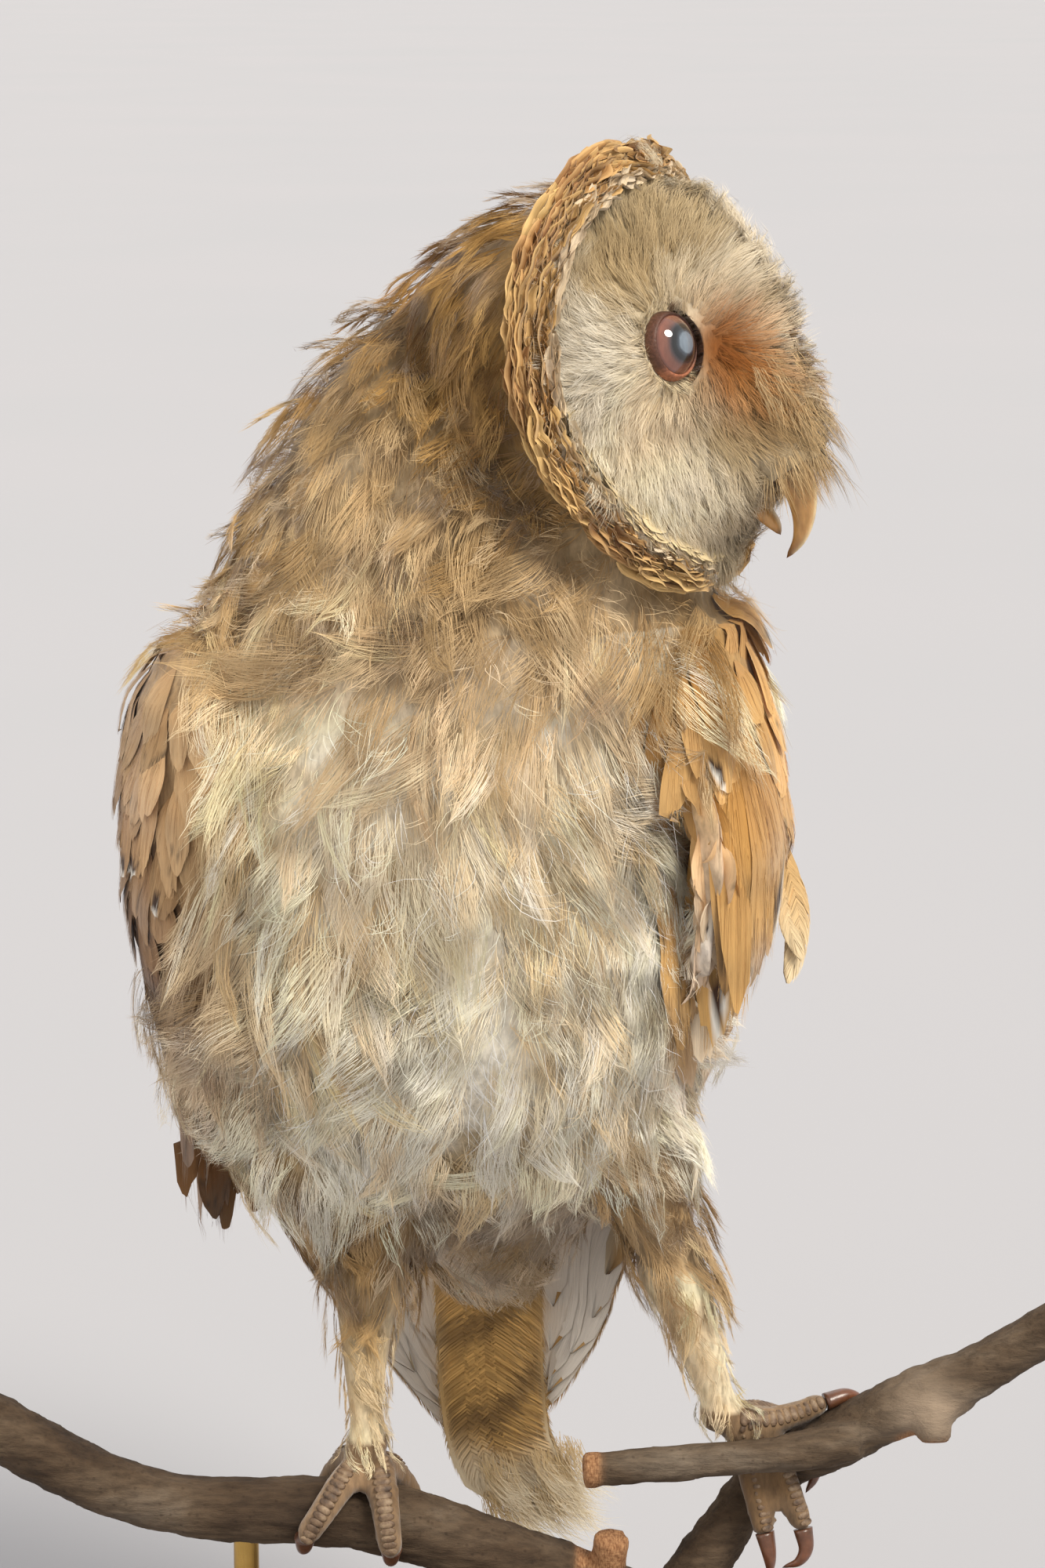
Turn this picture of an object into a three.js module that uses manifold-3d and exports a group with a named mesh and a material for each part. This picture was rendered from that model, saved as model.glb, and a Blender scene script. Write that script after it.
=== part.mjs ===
// A life-size taxidermy barn owl, gripping a cut forked branch on a plain display stand.
// Millimetres, +Z up. The breast faces -Y, the head is turned to the owl's left (+X), and the
// origin is the centre of the stand's underside.
import * as THREE from 'three';
import { mergeVertices } from 'three/addons/utils/BufferGeometryUtils.js';
import Module from 'manifold-3d';

const wasm = await Module();
wasm.setup();

// ---------------------------------------------------------------- driving dimensions
const GAP = 0.3; // clear space between neighbouring solids
const TOLERANCE = 0.04; // how far a facet may move when slivers are cleared away

const BASE_RADIUS = 84;
const BASE_HEIGHT = 16;
const BASE_CHAMFER = 2.5;
const ROD_RADIUS = 3;
const ROD_SEAT = 6; // how deep a rod sits in the base and in the branch
const RODS = { stand_rod_right: { x: -66, y: 0, top: 74 }, stand_rod_left: { x: 27, y: 5, top: 52 } };

const HEAD_CENTRE = [38, -15, 353]; // middle of the line from crown rim to chin rim
const HEAD_YAW = 62; // degrees that the face is turned to the owl's left
const HEAD_PITCH = 16; // degrees that the face looks up
const FACE_HALF_WIDTH = 41.5;
const FACE_HALF_HEIGHT = 46;
const RIM_BACK = 5.5; // how far crown and chin rim lie behind the head's centre
const RIM_SWEEP = 13; // how far the sides of the rim lie behind crown and chin
const FACE_BULGE = 9.5;
const RIDGE_WIDTH = 15;
const HEART_NOTCH = 3; // dip of the rim at the middle of the crown
const RUFF_WIDTH = 4.6; // half of the stiff feather rim's width across the face edge
const RUFF_HEIGHT = 4; // how far the rim stands proud at the crown; less at the chin
const EYE = { forward: 0.2, side: 18, up: 4.6, radius: 9 };

const WING_CUTS = [232, 160]; // heights that part shoulder, coverts and flight feathers
const NECK_CUT = 298;
const THIGH_CUT = 137;

// ---------------------------------------------------------------- materials
const finish = (color, roughness = 0.9) => new THREE.MeshStandardMaterial({ color, roughness, metalness: 0 });
const PLUMAGE = finish(0xdccba4);
const FACE = finish(0xe3d8bd);
const GOLD = finish(0xc6924d);
const RUFF = finish(0xb98648);
const HORN = finish(0xcfa870, 0.45);
const CLAW = finish(0x5a2e22, 0.4);
const TOE = finish(0x8f7a63, 0.8);
const GLASS = finish(0x3a2622, 0.08);
const BARK = finish(0x6d5c4b);
const STAND_WOOD = finish(0x2f221a, 0.5);
const BRASS = new THREE.MeshStandardMaterial({ color: 0xa98a4a, roughness: 0.35, metalness: 1 });

// ---------------------------------------------------------------- solids
// A geometry as a manifold solid, turned inside out if its faces point inwards.
function solid(geometry) {
  const bare = geometry.clone();
  bare.deleteAttribute('normal');
  bare.deleteAttribute('uv');
  const merged = mergeVertices(bare, 1e-4);
  const vertProperties = new Float32Array(merged.attributes.position.array);
  const triVerts = new Uint32Array(merged.index.array);
  const made = new wasm.Manifold(new wasm.Mesh({ numProp: 3, vertProperties, triVerts }));
  if (made.volume() > 0) return made;
  for (let i = 0; i < triVerts.length; i += 3) [triVerts[i + 1], triVerts[i + 2]] = [triVerts[i + 2], triVerts[i + 1]];
  return new wasm.Manifold(new wasm.Mesh({ numProp: 3, vertProperties, triVerts }));
}

function geometryOf(body) {
  const mesh = body.getMesh();
  const positions = new Float32Array(mesh.numVert * 3);
  for (let i = 0; i < mesh.numVert; i++) {
    positions.set(mesh.vertProperties.subarray(i * mesh.numProp, i * mesh.numProp + 3), i * 3);
  }
  const geometry = new THREE.BufferGeometry();
  geometry.setAttribute('position', new THREE.BufferAttribute(positions, 3));
  geometry.setIndex(new THREE.BufferAttribute(new Uint32Array(mesh.triVerts), 1));
  geometry.computeVertexNormals();
  return geometry;
}

// The same solid with its surface moved out along its normals.
function grown(body, distance = GAP) {
  const geometry = geometryOf(body);
  const p = geometry.attributes.position;
  const n = geometry.attributes.normal;
  for (let i = 0; i < p.count; i++) {
    p.setXYZ(i, p.getX(i) + n.getX(i) * distance, p.getY(i) + n.getY(i) * distance, p.getZ(i) + n.getZ(i) * distance);
  }
  return solid(geometry);
}

// Keeps the biggest piece of a solid that a cut has left in several.
function biggest(body) {
  return body.decompose().reduce((best, part) => (part.volume() > best.volume() ? part : best));
}

const without = (body, ...others) => biggest(others.reduce((left, other) => left.subtract(grown(other)), body));
const joined = (...bodies) => bodies.reduce((all, body) => all.add(body));

// Everything between two heights.
function between(body, low, high) {
  const size = 1000;
  const slab = solid(new THREE.BoxGeometry(size, size, high - low).translate(0, 0, (low + high) / 2));
  return biggest(body.intersect(slab));
}

// Rows of numbers with smooth rows added between them (Catmull-Rom).
function spline(rows, steps) {
  const at = (i) => rows[Math.max(0, Math.min(rows.length - 1, i))];
  const out = [];
  for (let i = 0; i < rows.length - 1; i++) {
    for (let k = 0; k < steps; k++) {
      const t = k / steps;
      out.push(
        rows[i].map((_, j) => {
          const [a, b, c, d] = [at(i - 1)[j], at(i)[j], at(i + 1)[j], at(i + 2)[j]];
          return b + 0.5 * t * (c - a + t * (2 * a - 5 * b + 4 * c - d + t * (3 * (b - c) + d - a)));
        }),
      );
    }
  }
  out.push(rows[rows.length - 1]);
  return out;
}

// A closed solid over a stack of rings with equal counts, each end closed on a point.
function loft(rings, start, end) {
  const count = rings[0].length;
  const points = [start, ...rings.flat(), end];
  const index = [];
  const last = points.length - 1;
  for (let j = 0; j < count; j++) {
    const next = (j + 1) % count;
    index.push(0, 1 + next, 1 + j);
    index.push(last, last - count + j, last - count + next);
  }
  for (let i = 0; i < rings.length - 1; i++) {
    for (let j = 0; j < count; j++) {
      const next = (j + 1) % count;
      const [a, b] = [1 + i * count + j, 1 + i * count + next];
      index.push(a, b, a + count, b, b + count, a + count);
    }
  }
  return solid(bufferOf(points, index));
}

// A closed hoop: rings round a closed path, the last joined to the first.
function hoop(rings) {
  const count = rings[0].length;
  const index = [];
  rings.forEach((_, i) => {
    const far = (i + 1) % rings.length;
    for (let j = 0; j < count; j++) {
      const next = (j + 1) % count;
      index.push(i * count + j, i * count + next, far * count + j);
      index.push(i * count + next, far * count + next, far * count + j);
    }
  });
  return solid(bufferOf(rings.flat(), index));
}

function bufferOf(points, index) {
  const geometry = new THREE.BufferGeometry();
  geometry.setAttribute('position', new THREE.Float32BufferAttribute(points.flat(), 3));
  geometry.setIndex(index);
  return geometry;
}

const average = (ring) => [0, 1, 2].map((k) => ring.reduce((sum, p) => sum + p[k], 0) / ring.length);
const radians = (degrees) => (degrees * Math.PI) / 180;

// Level rings [height, centre x, centre y, half width, half depth], thinned to a point at both ends.
function levelLoft(rows, count, steps, startDrop, endDrop) {
  const rings = spline(rows, steps).map(([z, cx, cy, a, b]) =>
    Array.from({ length: count }, (_, j) => {
      const angle = (2 * Math.PI * j) / count;
      return [cx + a * Math.cos(angle), cy + b * Math.sin(angle), z];
    }),
  );
  const first = rows[0];
  const final = rows[rows.length - 1];
  return loft(rings, [first[1], first[2], first[0] + startDrop], [final[1], final[2], final[0] - endDrop]);
}

// A round tube along rows [x, y, z, radius], with flat sawn ends, or pointed where tip is true.
function tube(rows, sides, steps, tip = false) {
  const path = spline(rows, steps);
  let side = new THREE.Vector3(0, 0.31, 1);
  const rings = path.map(([x, y, z, radius], i) => {
    const before = new THREE.Vector3(...path[Math.max(0, i - 1)]);
    const along = new THREE.Vector3(...path[Math.min(path.length - 1, i + 1)]).sub(before).normalize();
    side = side.clone().addScaledVector(along, -side.dot(along)).normalize();
    const other = along.clone().cross(side);
    return Array.from({ length: sides }, (_, j) => {
      const angle = (2 * Math.PI * j) / sides;
      const p = new THREE.Vector3(x, y, z)
        .addScaledVector(side, radius * Math.cos(angle))
        .addScaledVector(other, radius * Math.sin(angle));
      return p.toArray();
    });
  });
  const final = path[path.length - 1];
  if (!tip) return loft(rings, average(rings[0]), average(rings[rings.length - 1]));
  const reach = new THREE.Vector3(...final).sub(new THREE.Vector3(...path[path.length - 2])).setLength(final[3]);
  return loft(rings, average(rings[0]), [final[0] + reach.x, final[1] + reach.y, final[2] + reach.z]);
}

// ---------------------------------------------------------------- perch: a forked branch, sawn at its ends
const LIMB = [
  [-133, 2, 103, 7.4],
  [-112, 0, 91, 7.2],
  [-89, 0, 81, 7.2],
  [-65, 0, 78, 7.6],
  [-40, 0, 77.5, 8.4],
  [-12, 0, 69, 8.4],
  [12, 2, 58.5, 8.6],
  [32, 4, 50, 8.2],
];
const FORK = [
  [27, 4.5, 41, 7.6],
  [36, 7, 51, 7],
  [45, 10.5, 63, 6.4],
  [54, 12.5, 76, 6],
  [63, 11, 85.5, 6.2],
  [75, 6, 93.5, 6.6],
  [88, 1.5, 102.5, 7],
  [97, 0, 106.5, 8],
  [106, 0, 112, 6.1],
  [121, 0, 121, 5.8],
  [134, 0, 129.5, 5.6],
];
const SPUR = [
  [79, -1, 96.5, 5.2],
  [64, -3.5, 93.6, 4.3],
  [47, -5, 93, 4],
  [30, -6, 91.4, 3.9],
  [14.4, -6, 90.3, 4.3],
];
const TWIGS = {
  limb: [[20, 1.5, 57, 4.6], [20.6, -0.5, 65, 4.1], [21.2, -2, 72, 4.4]],
  fork: [[97, -1.5, 108, 5], [96.9, -5.5, 103, 4.4], [97, -7.5, 98, 3.5]],
};
const rodSeat = ({ x, y, top }) =>
  solid(
    new THREE.CylinderGeometry(ROD_RADIUS + GAP, ROD_RADIUS + GAP, top + ROD_SEAT, 12)
      .rotateX(Math.PI / 2)
      .translate(x, y, (top + ROD_SEAT) / 2 + BASE_HEIGHT - ROD_SEAT - GAP),
  );
// The rods are seated in the branch, so each hole reaches a little past its rod's top.
const seats = Object.values(RODS).map(({ x, y, top }) => rodSeat({ x, y, top: top - BASE_HEIGHT + GAP }));
const bored = (body) => seats.reduce((left, seat) => left.subtract(seat), body);
const limbWhole = joined(tube(LIMB, 10, 2), tube(TWIGS.limb, 8, 1));
const forkWhole = joined(tube(FORK, 10, 1), tube(TWIGS.fork, 8, 1));
const spur = without(tube(SPUR, 8, 1), forkWhole, limbWhole);
const fork = biggest(bored(without(forkWhole, limbWhole)));
const limb = biggest(bored(limbWhole));
const perch = [limb, fork, spur];

// Centre and radius of a limb where it passes a given x.
function limbAt(rows, x) {
  const path = spline(rows, 8);
  return path.reduce((near, row) => (Math.abs(row[0] - x) < Math.abs(near[0] - x) ? row : near));
}

// ---------------------------------------------------------------- stand
const standBase = (() => {
  const top = BASE_HEIGHT;
  const profile = [
    [0, 0],
    [BASE_RADIUS, 0],
    [BASE_RADIUS, top - BASE_CHAMFER],
    [BASE_RADIUS - BASE_CHAMFER, top],
    [0, top],
  ].map(([radius, z]) => new THREE.Vector2(radius, z));
  const disc = solid(new THREE.LatheGeometry(profile, 32).rotateX(Math.PI / 2));
  return bored(disc);
})();
const rod = ({ x, y, top }) =>
  solid(
    new THREE.CylinderGeometry(ROD_RADIUS, ROD_RADIUS, top - BASE_HEIGHT + ROD_SEAT, 12)
      .rotateX(Math.PI / 2)
      .translate(x, y, (top + BASE_HEIGHT - ROD_SEAT) / 2),
  );

// ---------------------------------------------------------------- head frame: forward, to the owl's right, up
const [yaw, pitch] = [radians(HEAD_YAW), radians(HEAD_PITCH)];
const FORWARD = [Math.cos(pitch) * Math.sin(yaw), -Math.cos(pitch) * Math.cos(yaw), Math.sin(pitch)];
const UP = [-Math.sin(pitch) * Math.sin(yaw), Math.sin(pitch) * Math.cos(yaw), Math.cos(pitch)];
const RIGHT = new THREE.Vector3(...FORWARD).cross(new THREE.Vector3(...UP)).toArray();
const inHead = (f, r, u) => HEAD_CENTRE.map((c, k) => c + f * FORWARD[k] + r * RIGHT[k] + u * UP[k]);

// The heart-shaped rim of the face: angle 0 is the crown, 180 degrees the chin.
function rim(angle) {
  const [s, c] = [Math.sin(angle), Math.cos(angle)];
  const notch = c > 0 ? HEART_NOTCH * Math.exp(-((s / 0.22) ** 2)) : 0;
  const broad = c < 0 ? 1 - 0.3 * c * c * s * s : 1 + 0.06 * Math.abs(s * c);
  return { f: 2.5 * c - RIM_BACK - RIM_SWEEP * s * s, r: FACE_HALF_WIDTH * s * broad, u: FACE_HALF_HEIGHT * c * (c < 0 ? 0.99 : 1.03) - notch };
}

// How far the feathered ridge between the eyes stands forward at the middle: [up, forward].
const RIDGE = spline([[-56, -8], [-47, -8], [-42, 0], [-37, 9], [-33, 18], [-29, 26], [-24, 29.5], [-18, 30.5], [-5, 30], [12, 28], [29, 21], [38, 14], [45, 4], [52, -4], [60, -6]], 4);
function ridge(up) {
  const i = Math.max(1, RIDGE.findIndex(([u]) => u > up));
  const [[u0, f0], [u1, f1]] = [RIDGE[i - 1], RIDGE[i]];
  return f0 + ((f1 - f0) * (up - u0)) / (u1 - u0);
}
function faceForward(r, u) {
  const [across, high] = [(r / FACE_HALF_WIDTH) ** 2, (u / FACE_HALF_HEIGHT) ** 2];
  const bowl = FACE_BULGE * Math.max(0, 1 - across - high) - RIM_BACK - RIM_SWEEP * across;
  const middle = FACE_BULGE * Math.max(0, 1 - high) - RIM_BACK;
  return bowl + (ridge(u) - middle) * Math.exp(-((r / RIDGE_WIDTH) ** 2));
}

// The head's back: rings as a share of the rim's size, how far behind the centre, and how far lifted.
const BACK = [[1, 12, 1], [0.98, 21, 2.5], [0.92, 32, 4], [0.83, 44, 5.5], [0.7, 56, 7.5], [0.52, 67, 10], [0.28, 76, 12]];
const HEAD_SIDES = 26;
const FACE_RINGS = 6;
const angles = Array.from({ length: HEAD_SIDES }, (_, j) => (2 * Math.PI * j) / HEAD_SIDES);
const faceRings = Array.from({ length: FACE_RINGS }, (_, i) => {
  const share = (i + 1) / (FACE_RINGS + 1);
  return angles.map((angle) => {
    const edge = rim(angle);
    const [r, u] = [edge.r * share, edge.u * share - 4 * (1 - share)];
    return inHead(faceForward(r, u), r, u);
  });
});
const rimRing = angles.map((angle) => inHead(rim(angle).f, rim(angle).r, rim(angle).u));
const backRings = BACK.map(([share, behind, lift]) =>
  angles.map((angle) => {
    const edge = rim(angle);
    const settle = Math.min(1, behind / 50); // the swept rim evens out towards the back
    return inHead(edge.f * (1 - settle) - behind, edge.r * share, edge.u * share + lift);
  }),
);
const headWhole = loft(
  [...faceRings, rimRing, ...backRings],
  inHead(faceForward(0, -4), 0, -4),
  inHead(-80, 0, 12),
);

// ---------------------------------------------------------------- ruff, eyes, bill
const ruff = hoop(
  Array.from({ length: 30 }, (_, i) => {
    const angle = (2 * Math.PI * i) / 30;
    const centre = rim(angle);
    const out = new THREE.Vector2(centre.r, centre.u).normalize();
    return Array.from({ length: 6 }, (_, j) => {
      const turn = (2 * Math.PI * j) / 6;
      const across = RUFF_WIDTH * Math.cos(turn);
      const proud = RUFF_HEIGHT * (0.78 + 0.22 * Math.cos(angle)) * Math.sin(turn);
      return inHead(centre.f - 1 + across, centre.r + out.x * proud, centre.u + out.y * proud);
    });
  }),
);
const eyeball = (side) =>
  solid(new THREE.SphereGeometry(EYE.radius, 12, 8).translate(...inHead(EYE.forward, side * EYE.side, EYE.up)));
const eyes = { eye_right: eyeball(1), eye_left: eyeball(-1) };

// A tapered horn in the middle plane of the head: rows [forward, up, half width, half thickness].
function horn(rows, tipForward, tipUp) {
  const rings = rows.map(([f, u, width, thick], i) => {
    const [before, after] = [rows[Math.max(0, i - 1)], rows[Math.min(rows.length - 1, i + 1)]];
    const along = new THREE.Vector2(after[0] - before[0], after[1] - before[1]).normalize();
    return Array.from({ length: 8 }, (_, j) => {
      const turn = (2 * Math.PI * j) / 8;
      const out = thick * Math.cos(turn);
      return inHead(f - along.y * out, width * Math.sin(turn), u + along.x * out);
    });
  });
  return loft(rings, average(rings[0]), inHead(tipForward, 0, tipUp));
}
const billUpper = horn([[10, -14, 4.2, 5.4], [14.5, -22, 4.8, 5.6], [17, -30, 3.8, 4.6], [16.8, -37, 2.6, 3], [15, -42.5, 1.3, 1.6]], 12.3, -46.5);
const billLower = horn([[2, -26, 3.4, 2.4], [6.5, -33, 3.2, 2.2], [9.5, -38, 2.2, 1.5]], 10.6, -41);

// A curved wall just behind the face parts the facial disc from the skull cap.
const faceWall = (setBack) => {
  const outline = new THREE.Shape();
  const half = 70;
  const depth = (r) => -RIM_SWEEP * (r / FACE_HALF_WIDTH) ** 2 - RIM_BACK - 5 - setBack;
  outline.moveTo(90, -half);
  for (let r = -half; r <= half; r += 10) outline.lineTo(depth(r), r);
  outline.lineTo(90, half);
  const height = 140;
  const wall = new THREE.ExtrudeGeometry(outline, { depth: height, bevelEnabled: false });
  const basis = new THREE.Matrix4().makeBasis(
    new THREE.Vector3(...FORWARD),
    new THREE.Vector3(...RIGHT),
    new THREE.Vector3(...UP).negate(),
  );
  basis.setPosition(...inHead(0, 0, height / 2));
  return solid(wall.applyMatrix4(basis));
};
const face = without(headWhole.intersect(faceWall(0)), ruff, eyes.eye_right, eyes.eye_left, billUpper, billLower);
const headBack = without(headWhole.subtract(faceWall(GAP)), ruff);

// ---------------------------------------------------------------- trunk and neck: level rings from nape to vent
const BODY = [
  [366, -19, 8, 16, 13],
  [356, -17, 6, 28, 24],
  [342, -15, 5, 40, 33],
  [320, -12, 3, 52, 41],
  [302, -10, 2, 60, 46],
  [286, -12, 0, 64, 48],
  [256, -20, -2, 61.5, 52],
  [228, -21, -1, 60, 52],
  [200, -21.5, 3, 62, 50],
  [180, -20, 8, 61, 45],
  [165, -18, 13, 54, 38],
  [154, -15, 18, 42, 31],
  [140, -10, 26, 27, 21],
  [125, -8, 36, 18, 14],
  [113, -6, 44, 10, 8],
];
const bodyWhole = levelLoft(BODY, 24, 1, 4, 5);
const trunk = between(bodyWhole, 90, NECK_CUT);
const neck = without(between(bodyWhole, NECK_CUT + GAP, 400), headWhole, ruff);

// ---------------------------------------------------------------- wings: blades that lie on a narrowing ellipse
// Rows [height, centre x, centre y, half width, half depth, first angle, last angle, thickness]; angles turn
// from the owl's side towards its back.
const WING_RIGHT = [
  [290, -12, 0, 64, 48, -26, 12, 8],
  [277, -14, 0, 66, 50, -40, 40, 11],
  [255, -20, 0, 62, 52, -36, 62, 12],
  [230, -21, 2, 61, 52, -31, 74, 11.5],
  [206, -21, 5, 61, 50, -20, 80, 8.5],
  [188, -20, 10, 60, 46, -8, 83, 7],
  [174, -19, 14, 60, 43, -4, 85, 6.5],
  [162, -18, 18, 58, 40, 0, 85, 5.5],
  [150, -15, 24, 50, 38, 14, 85, 5.2],
  [135, -12, 31, 49, 35, 18, 83, 4.6],
  [113, -9, 42, 43, 29, 22, 78, 3.8],
  [90, -6, 54, 31, 20, 28, 72, 3],
  [70, -4, 63, 19, 12, 36, 66, 2.2],
  [60, -4, 68, 12, 8, 42, 60, 1.4],
];
const WING_LEFT = [
  [297, -10, 0, 56, 44, -36, 10, 6],
  [282, -12, 0, 60, 48, -48, 36, 8],
  [262, -14, 1, 67, 52, -43, 56, 8],
  [242, -12, 3, 67, 52, -42, 66, 8.5],
  [217, -13, 5, 63, 50, -38, 74, 7.5],
  [195, -14, 9, 58, 46, -22, 79, 6.5],
  [182, -14, 13, 54, 43, -6, 82, 6],
  [165, -13, 19, 49, 40, 8, 83, 5.5],
  [145, -10, 29, 45, 34, 16, 82, 5],
  [121, -8, 40, 35, 26, 20, 78, 4.2],
  [104, -6, 48, 29, 20, 22, 74, 3.4],
  [88, -6, 57, 21, 14, 28, 70, 2.8],
  [76, -5, 63, 14, 9, 34, 66, 2.2],
  [68, -5, 66, 10, 6, 40, 60, 1.4],
];
const WING_ACROSS = 9; // points over the blade's outer face
const BLADE_BACKING = 2.5; // how far the blade reaches under the ellipse

function wing(rows, side) {
  const rings = rows.map(([z, cx, cy, a, b, first, last, thick]) => {
    const point = (share, out) => {
      const angle = radians(first + (last - first) * share);
      const [x, y] = [(a + out) * Math.cos(angle), (b + out) * Math.sin(angle)];
      return [cx + side * x, cy + y, z];
    };
    const shares = Array.from({ length: WING_ACROSS }, (_, j) => j / (WING_ACROSS - 1));
    const outer = shares.map((share) => point(share, 0.4 + thick * Math.sqrt(Math.sin(Math.PI * Math.min(0.98, 0.02 + share)))));
    const inner = shares.slice(1, -1).reverse().map((share) => point(share, -Math.min(BLADE_BACKING, thick)));
    return [...outer, ...inner];
  });
  const [top, tip] = [average(rings[0]), average(rings[rings.length - 1])];
  return loft(rings, [top[0], top[1], top[2] + 3], [tip[0], tip[1] + 1, tip[2] - 6]);
}

// A few loosened coverts that hang off the left wing's edge: rows [x, y, z, radius].
const LOOSE_COVERT = [[57, 12, 244, 3.2], [62, 10, 232, 3.6], [64.5, 8, 222, 3.4], [64, 7, 213, 2.2], [62.5, 6, 206, 0.9]];

// ---------------------------------------------------------------- tail: a narrow folded fan
// Rows [height, centre x, centre y, half width, half thickness]; its end is bent to the owl's left.
const TAIL = [
  [172, -12, 42, 18, 7],
  [150, -10, 49, 17, 5.5],
  [132, -8, 54, 16, 4.4],
  [112, -7, 58.5, 15, 3.8],
  [90, -6, 63.5, 14.5, 3.4],
  [70, -5, 67, 15, 3],
  [58, -1, 70, 17, 2.8],
  [51, 4, 72, 16, 2.4],
  [46, 9, 74, 13, 1.8],
];
const tailWhole = levelLoft(TAIL, 12, 1, 2, 3);

// ---------------------------------------------------------------- legs: rows [height, centre x, centre y, half width, half depth]
const LEG_RIGHT = [
  [182, -44, 2, 21, 22],
  [166, -46, 0, 22, 20],
  [154, -41, 2, 16.5, 16],
  [144, -36, 4, 13, 12.5],
  [134, -36, 5, 10.5, 10.5],
  [124, -37, 4.5, 8, 8.5],
  [113, -37.3, 2, 6.4, 6.8],
  [104, -37.2, -1, 5.2, 5.8],
  [98, -37, -2, 5, 5.8],
];
const LEG_LEFT = [
  [182, 14, 4, 20, 22],
  [168, 22.5, 5, 18.5, 21],
  [156, 28, 7, 13.5, 15],
  [144, 33.5, 9, 11.8, 12],
  [132, 36.5, 9, 10, 10],
  [121, 40.6, 7.5, 7.4, 8],
  [111, 44, 4.5, 6.3, 6.6],
  [104, 47, 2.5, 5.4, 5.8],
];

// A toe that wraps a limb: x runs along the limb and the turn is from its top towards the front, in degrees.
function wrapped(rows, x0, x1, turn0, turn1, r0, r1, steps = 3) {
  return Array.from({ length: steps + 1 }, (_, i) => {
    const t = i / steps;
    const radius = r0 + (r1 - r0) * t;
    const [, cy, cz, limbRadius] = limbAt(rows, x0 + (x1 - x0) * t);
    const reach = limbRadius + radius + GAP;
    const turn = radians(turn0 + (turn1 - turn0) * t);
    return [x0 + (x1 - x0) * t, cy - reach * Math.sin(turn), cz + reach * Math.cos(turn), radius];
  });
}

const TOES_RIGHT = [
  wrapped(LIMB, -38.5, -51, 8, 100, 4.2, 3.1),
  wrapped(LIMB, -34, -31, 8, 100, 4.3, 3.2),
  wrapped(LIMB, -39, -49, -6, -100, 4, 3),
  wrapped(LIMB, -34, -25, -6, -96, 3.9, 2.9),
];
const CLAWS_RIGHT = [
  wrapped(LIMB, -51.3, -52.5, 108, 170, 2.4, 0.7),
  wrapped(LIMB, -31, -31.5, 108, 168, 2.4, 0.7),
  wrapped(LIMB, -49.4, -52, -108, -165, 2.3, 0.7),
  wrapped(LIMB, -24.4, -23, -104, -160, 2.2, 0.7),
];
// The left foot stands behind the spur: two toes hang between the limbs, one lies along the fork, one behind.
const TOES_LEFT = [
  [[52, 2, 99.5, 4], [59, 3.2, 99, 3.6], [66, 5, 100.5, 3.2], [71, 6, 102.5, 2.9]],
  [[51, 2, 99, 4.2], [53.5, 3.2, 92, 3.9], [55, 2.6, 85, 3.6], [56.5, 1, 78, 3.2], [57.5, -0.5, 73.5, 2.9]],
  [[53, 2, 99, 4], [58.5, 3.2, 92.5, 3.8], [62.5, 2.4, 85.5, 3.4], [65, 0.5, 79, 3.1], [66.5, -0.5, 75, 2.9]],
  [[52, 4, 100, 4], [57, 10, 98, 3.8], [64, 16, 93.5, 3.4], [69, 18, 88, 3]],
];
const CLAWS_LEFT = [
  [[73.6, 6.4, 103.2, 2.2], [77, 7.6, 104, 1.8], [80, 9.2, 103, 1.3], [82, 10.6, 101, 0.8]],
  [[58, -1.2, 71.5, 2.4], [58.8, -1.8, 68, 1.9], [59.2, -1.2, 64.5, 1.3], [59, 0, 61.5, 0.7]],
  [[67.2, -1, 72.6, 2.3], [67.6, -1.8, 69, 1.9], [66, -2, 65.8, 1.5], [63, -1.6, 64.4, 0.8]],
  [[70.3, 18.2, 85.6, 2.2], [71, 17.6, 82, 1.7], [70.4, 16.6, 79, 1.1], [69, 15.4, 77, 0.7]],
];

const thighs = {};
const shanks = {};
const feet = {};
const claws = {};
for (const [side, legRows, toes, talons] of [
  ['right', LEG_RIGHT, TOES_RIGHT, CLAWS_RIGHT],
  ['left', LEG_LEFT, TOES_LEFT, CLAWS_LEFT],
]) {
  const leg = levelLoft(legRows, 12, 1, 2, 1);
  thighs[side] = without(between(leg, THIGH_CUT, 200), bodyWhole);
  talons.forEach((rows, i) => {
    claws[`claw_${side}_${i + 1}`] = without(tube(rows, 6, 1, true), ...perch);
  });
  const talonSolids = talons.map((_, i) => claws[`claw_${side}_${i + 1}`]);
  const [, ankleX, ankleY] = legRows[legRows.length - 1];
  const ankleZ = legRows[legRows.length - 1][0] - 2;
  const ankle = solid(new THREE.SphereGeometry(5.6, 8, 6).translate(ankleX, ankleY, ankleZ));
  const footWhole = joined(ankle, ...toes.map((rows) => tube(rows, 6, 1, true)));
  feet[side] = without(footWhole, ...perch, ...talonSolids);
  shanks[side] = without(between(leg, 90, THIGH_CUT - GAP), footWhole, bodyWhole, ...perch);
}

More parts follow.
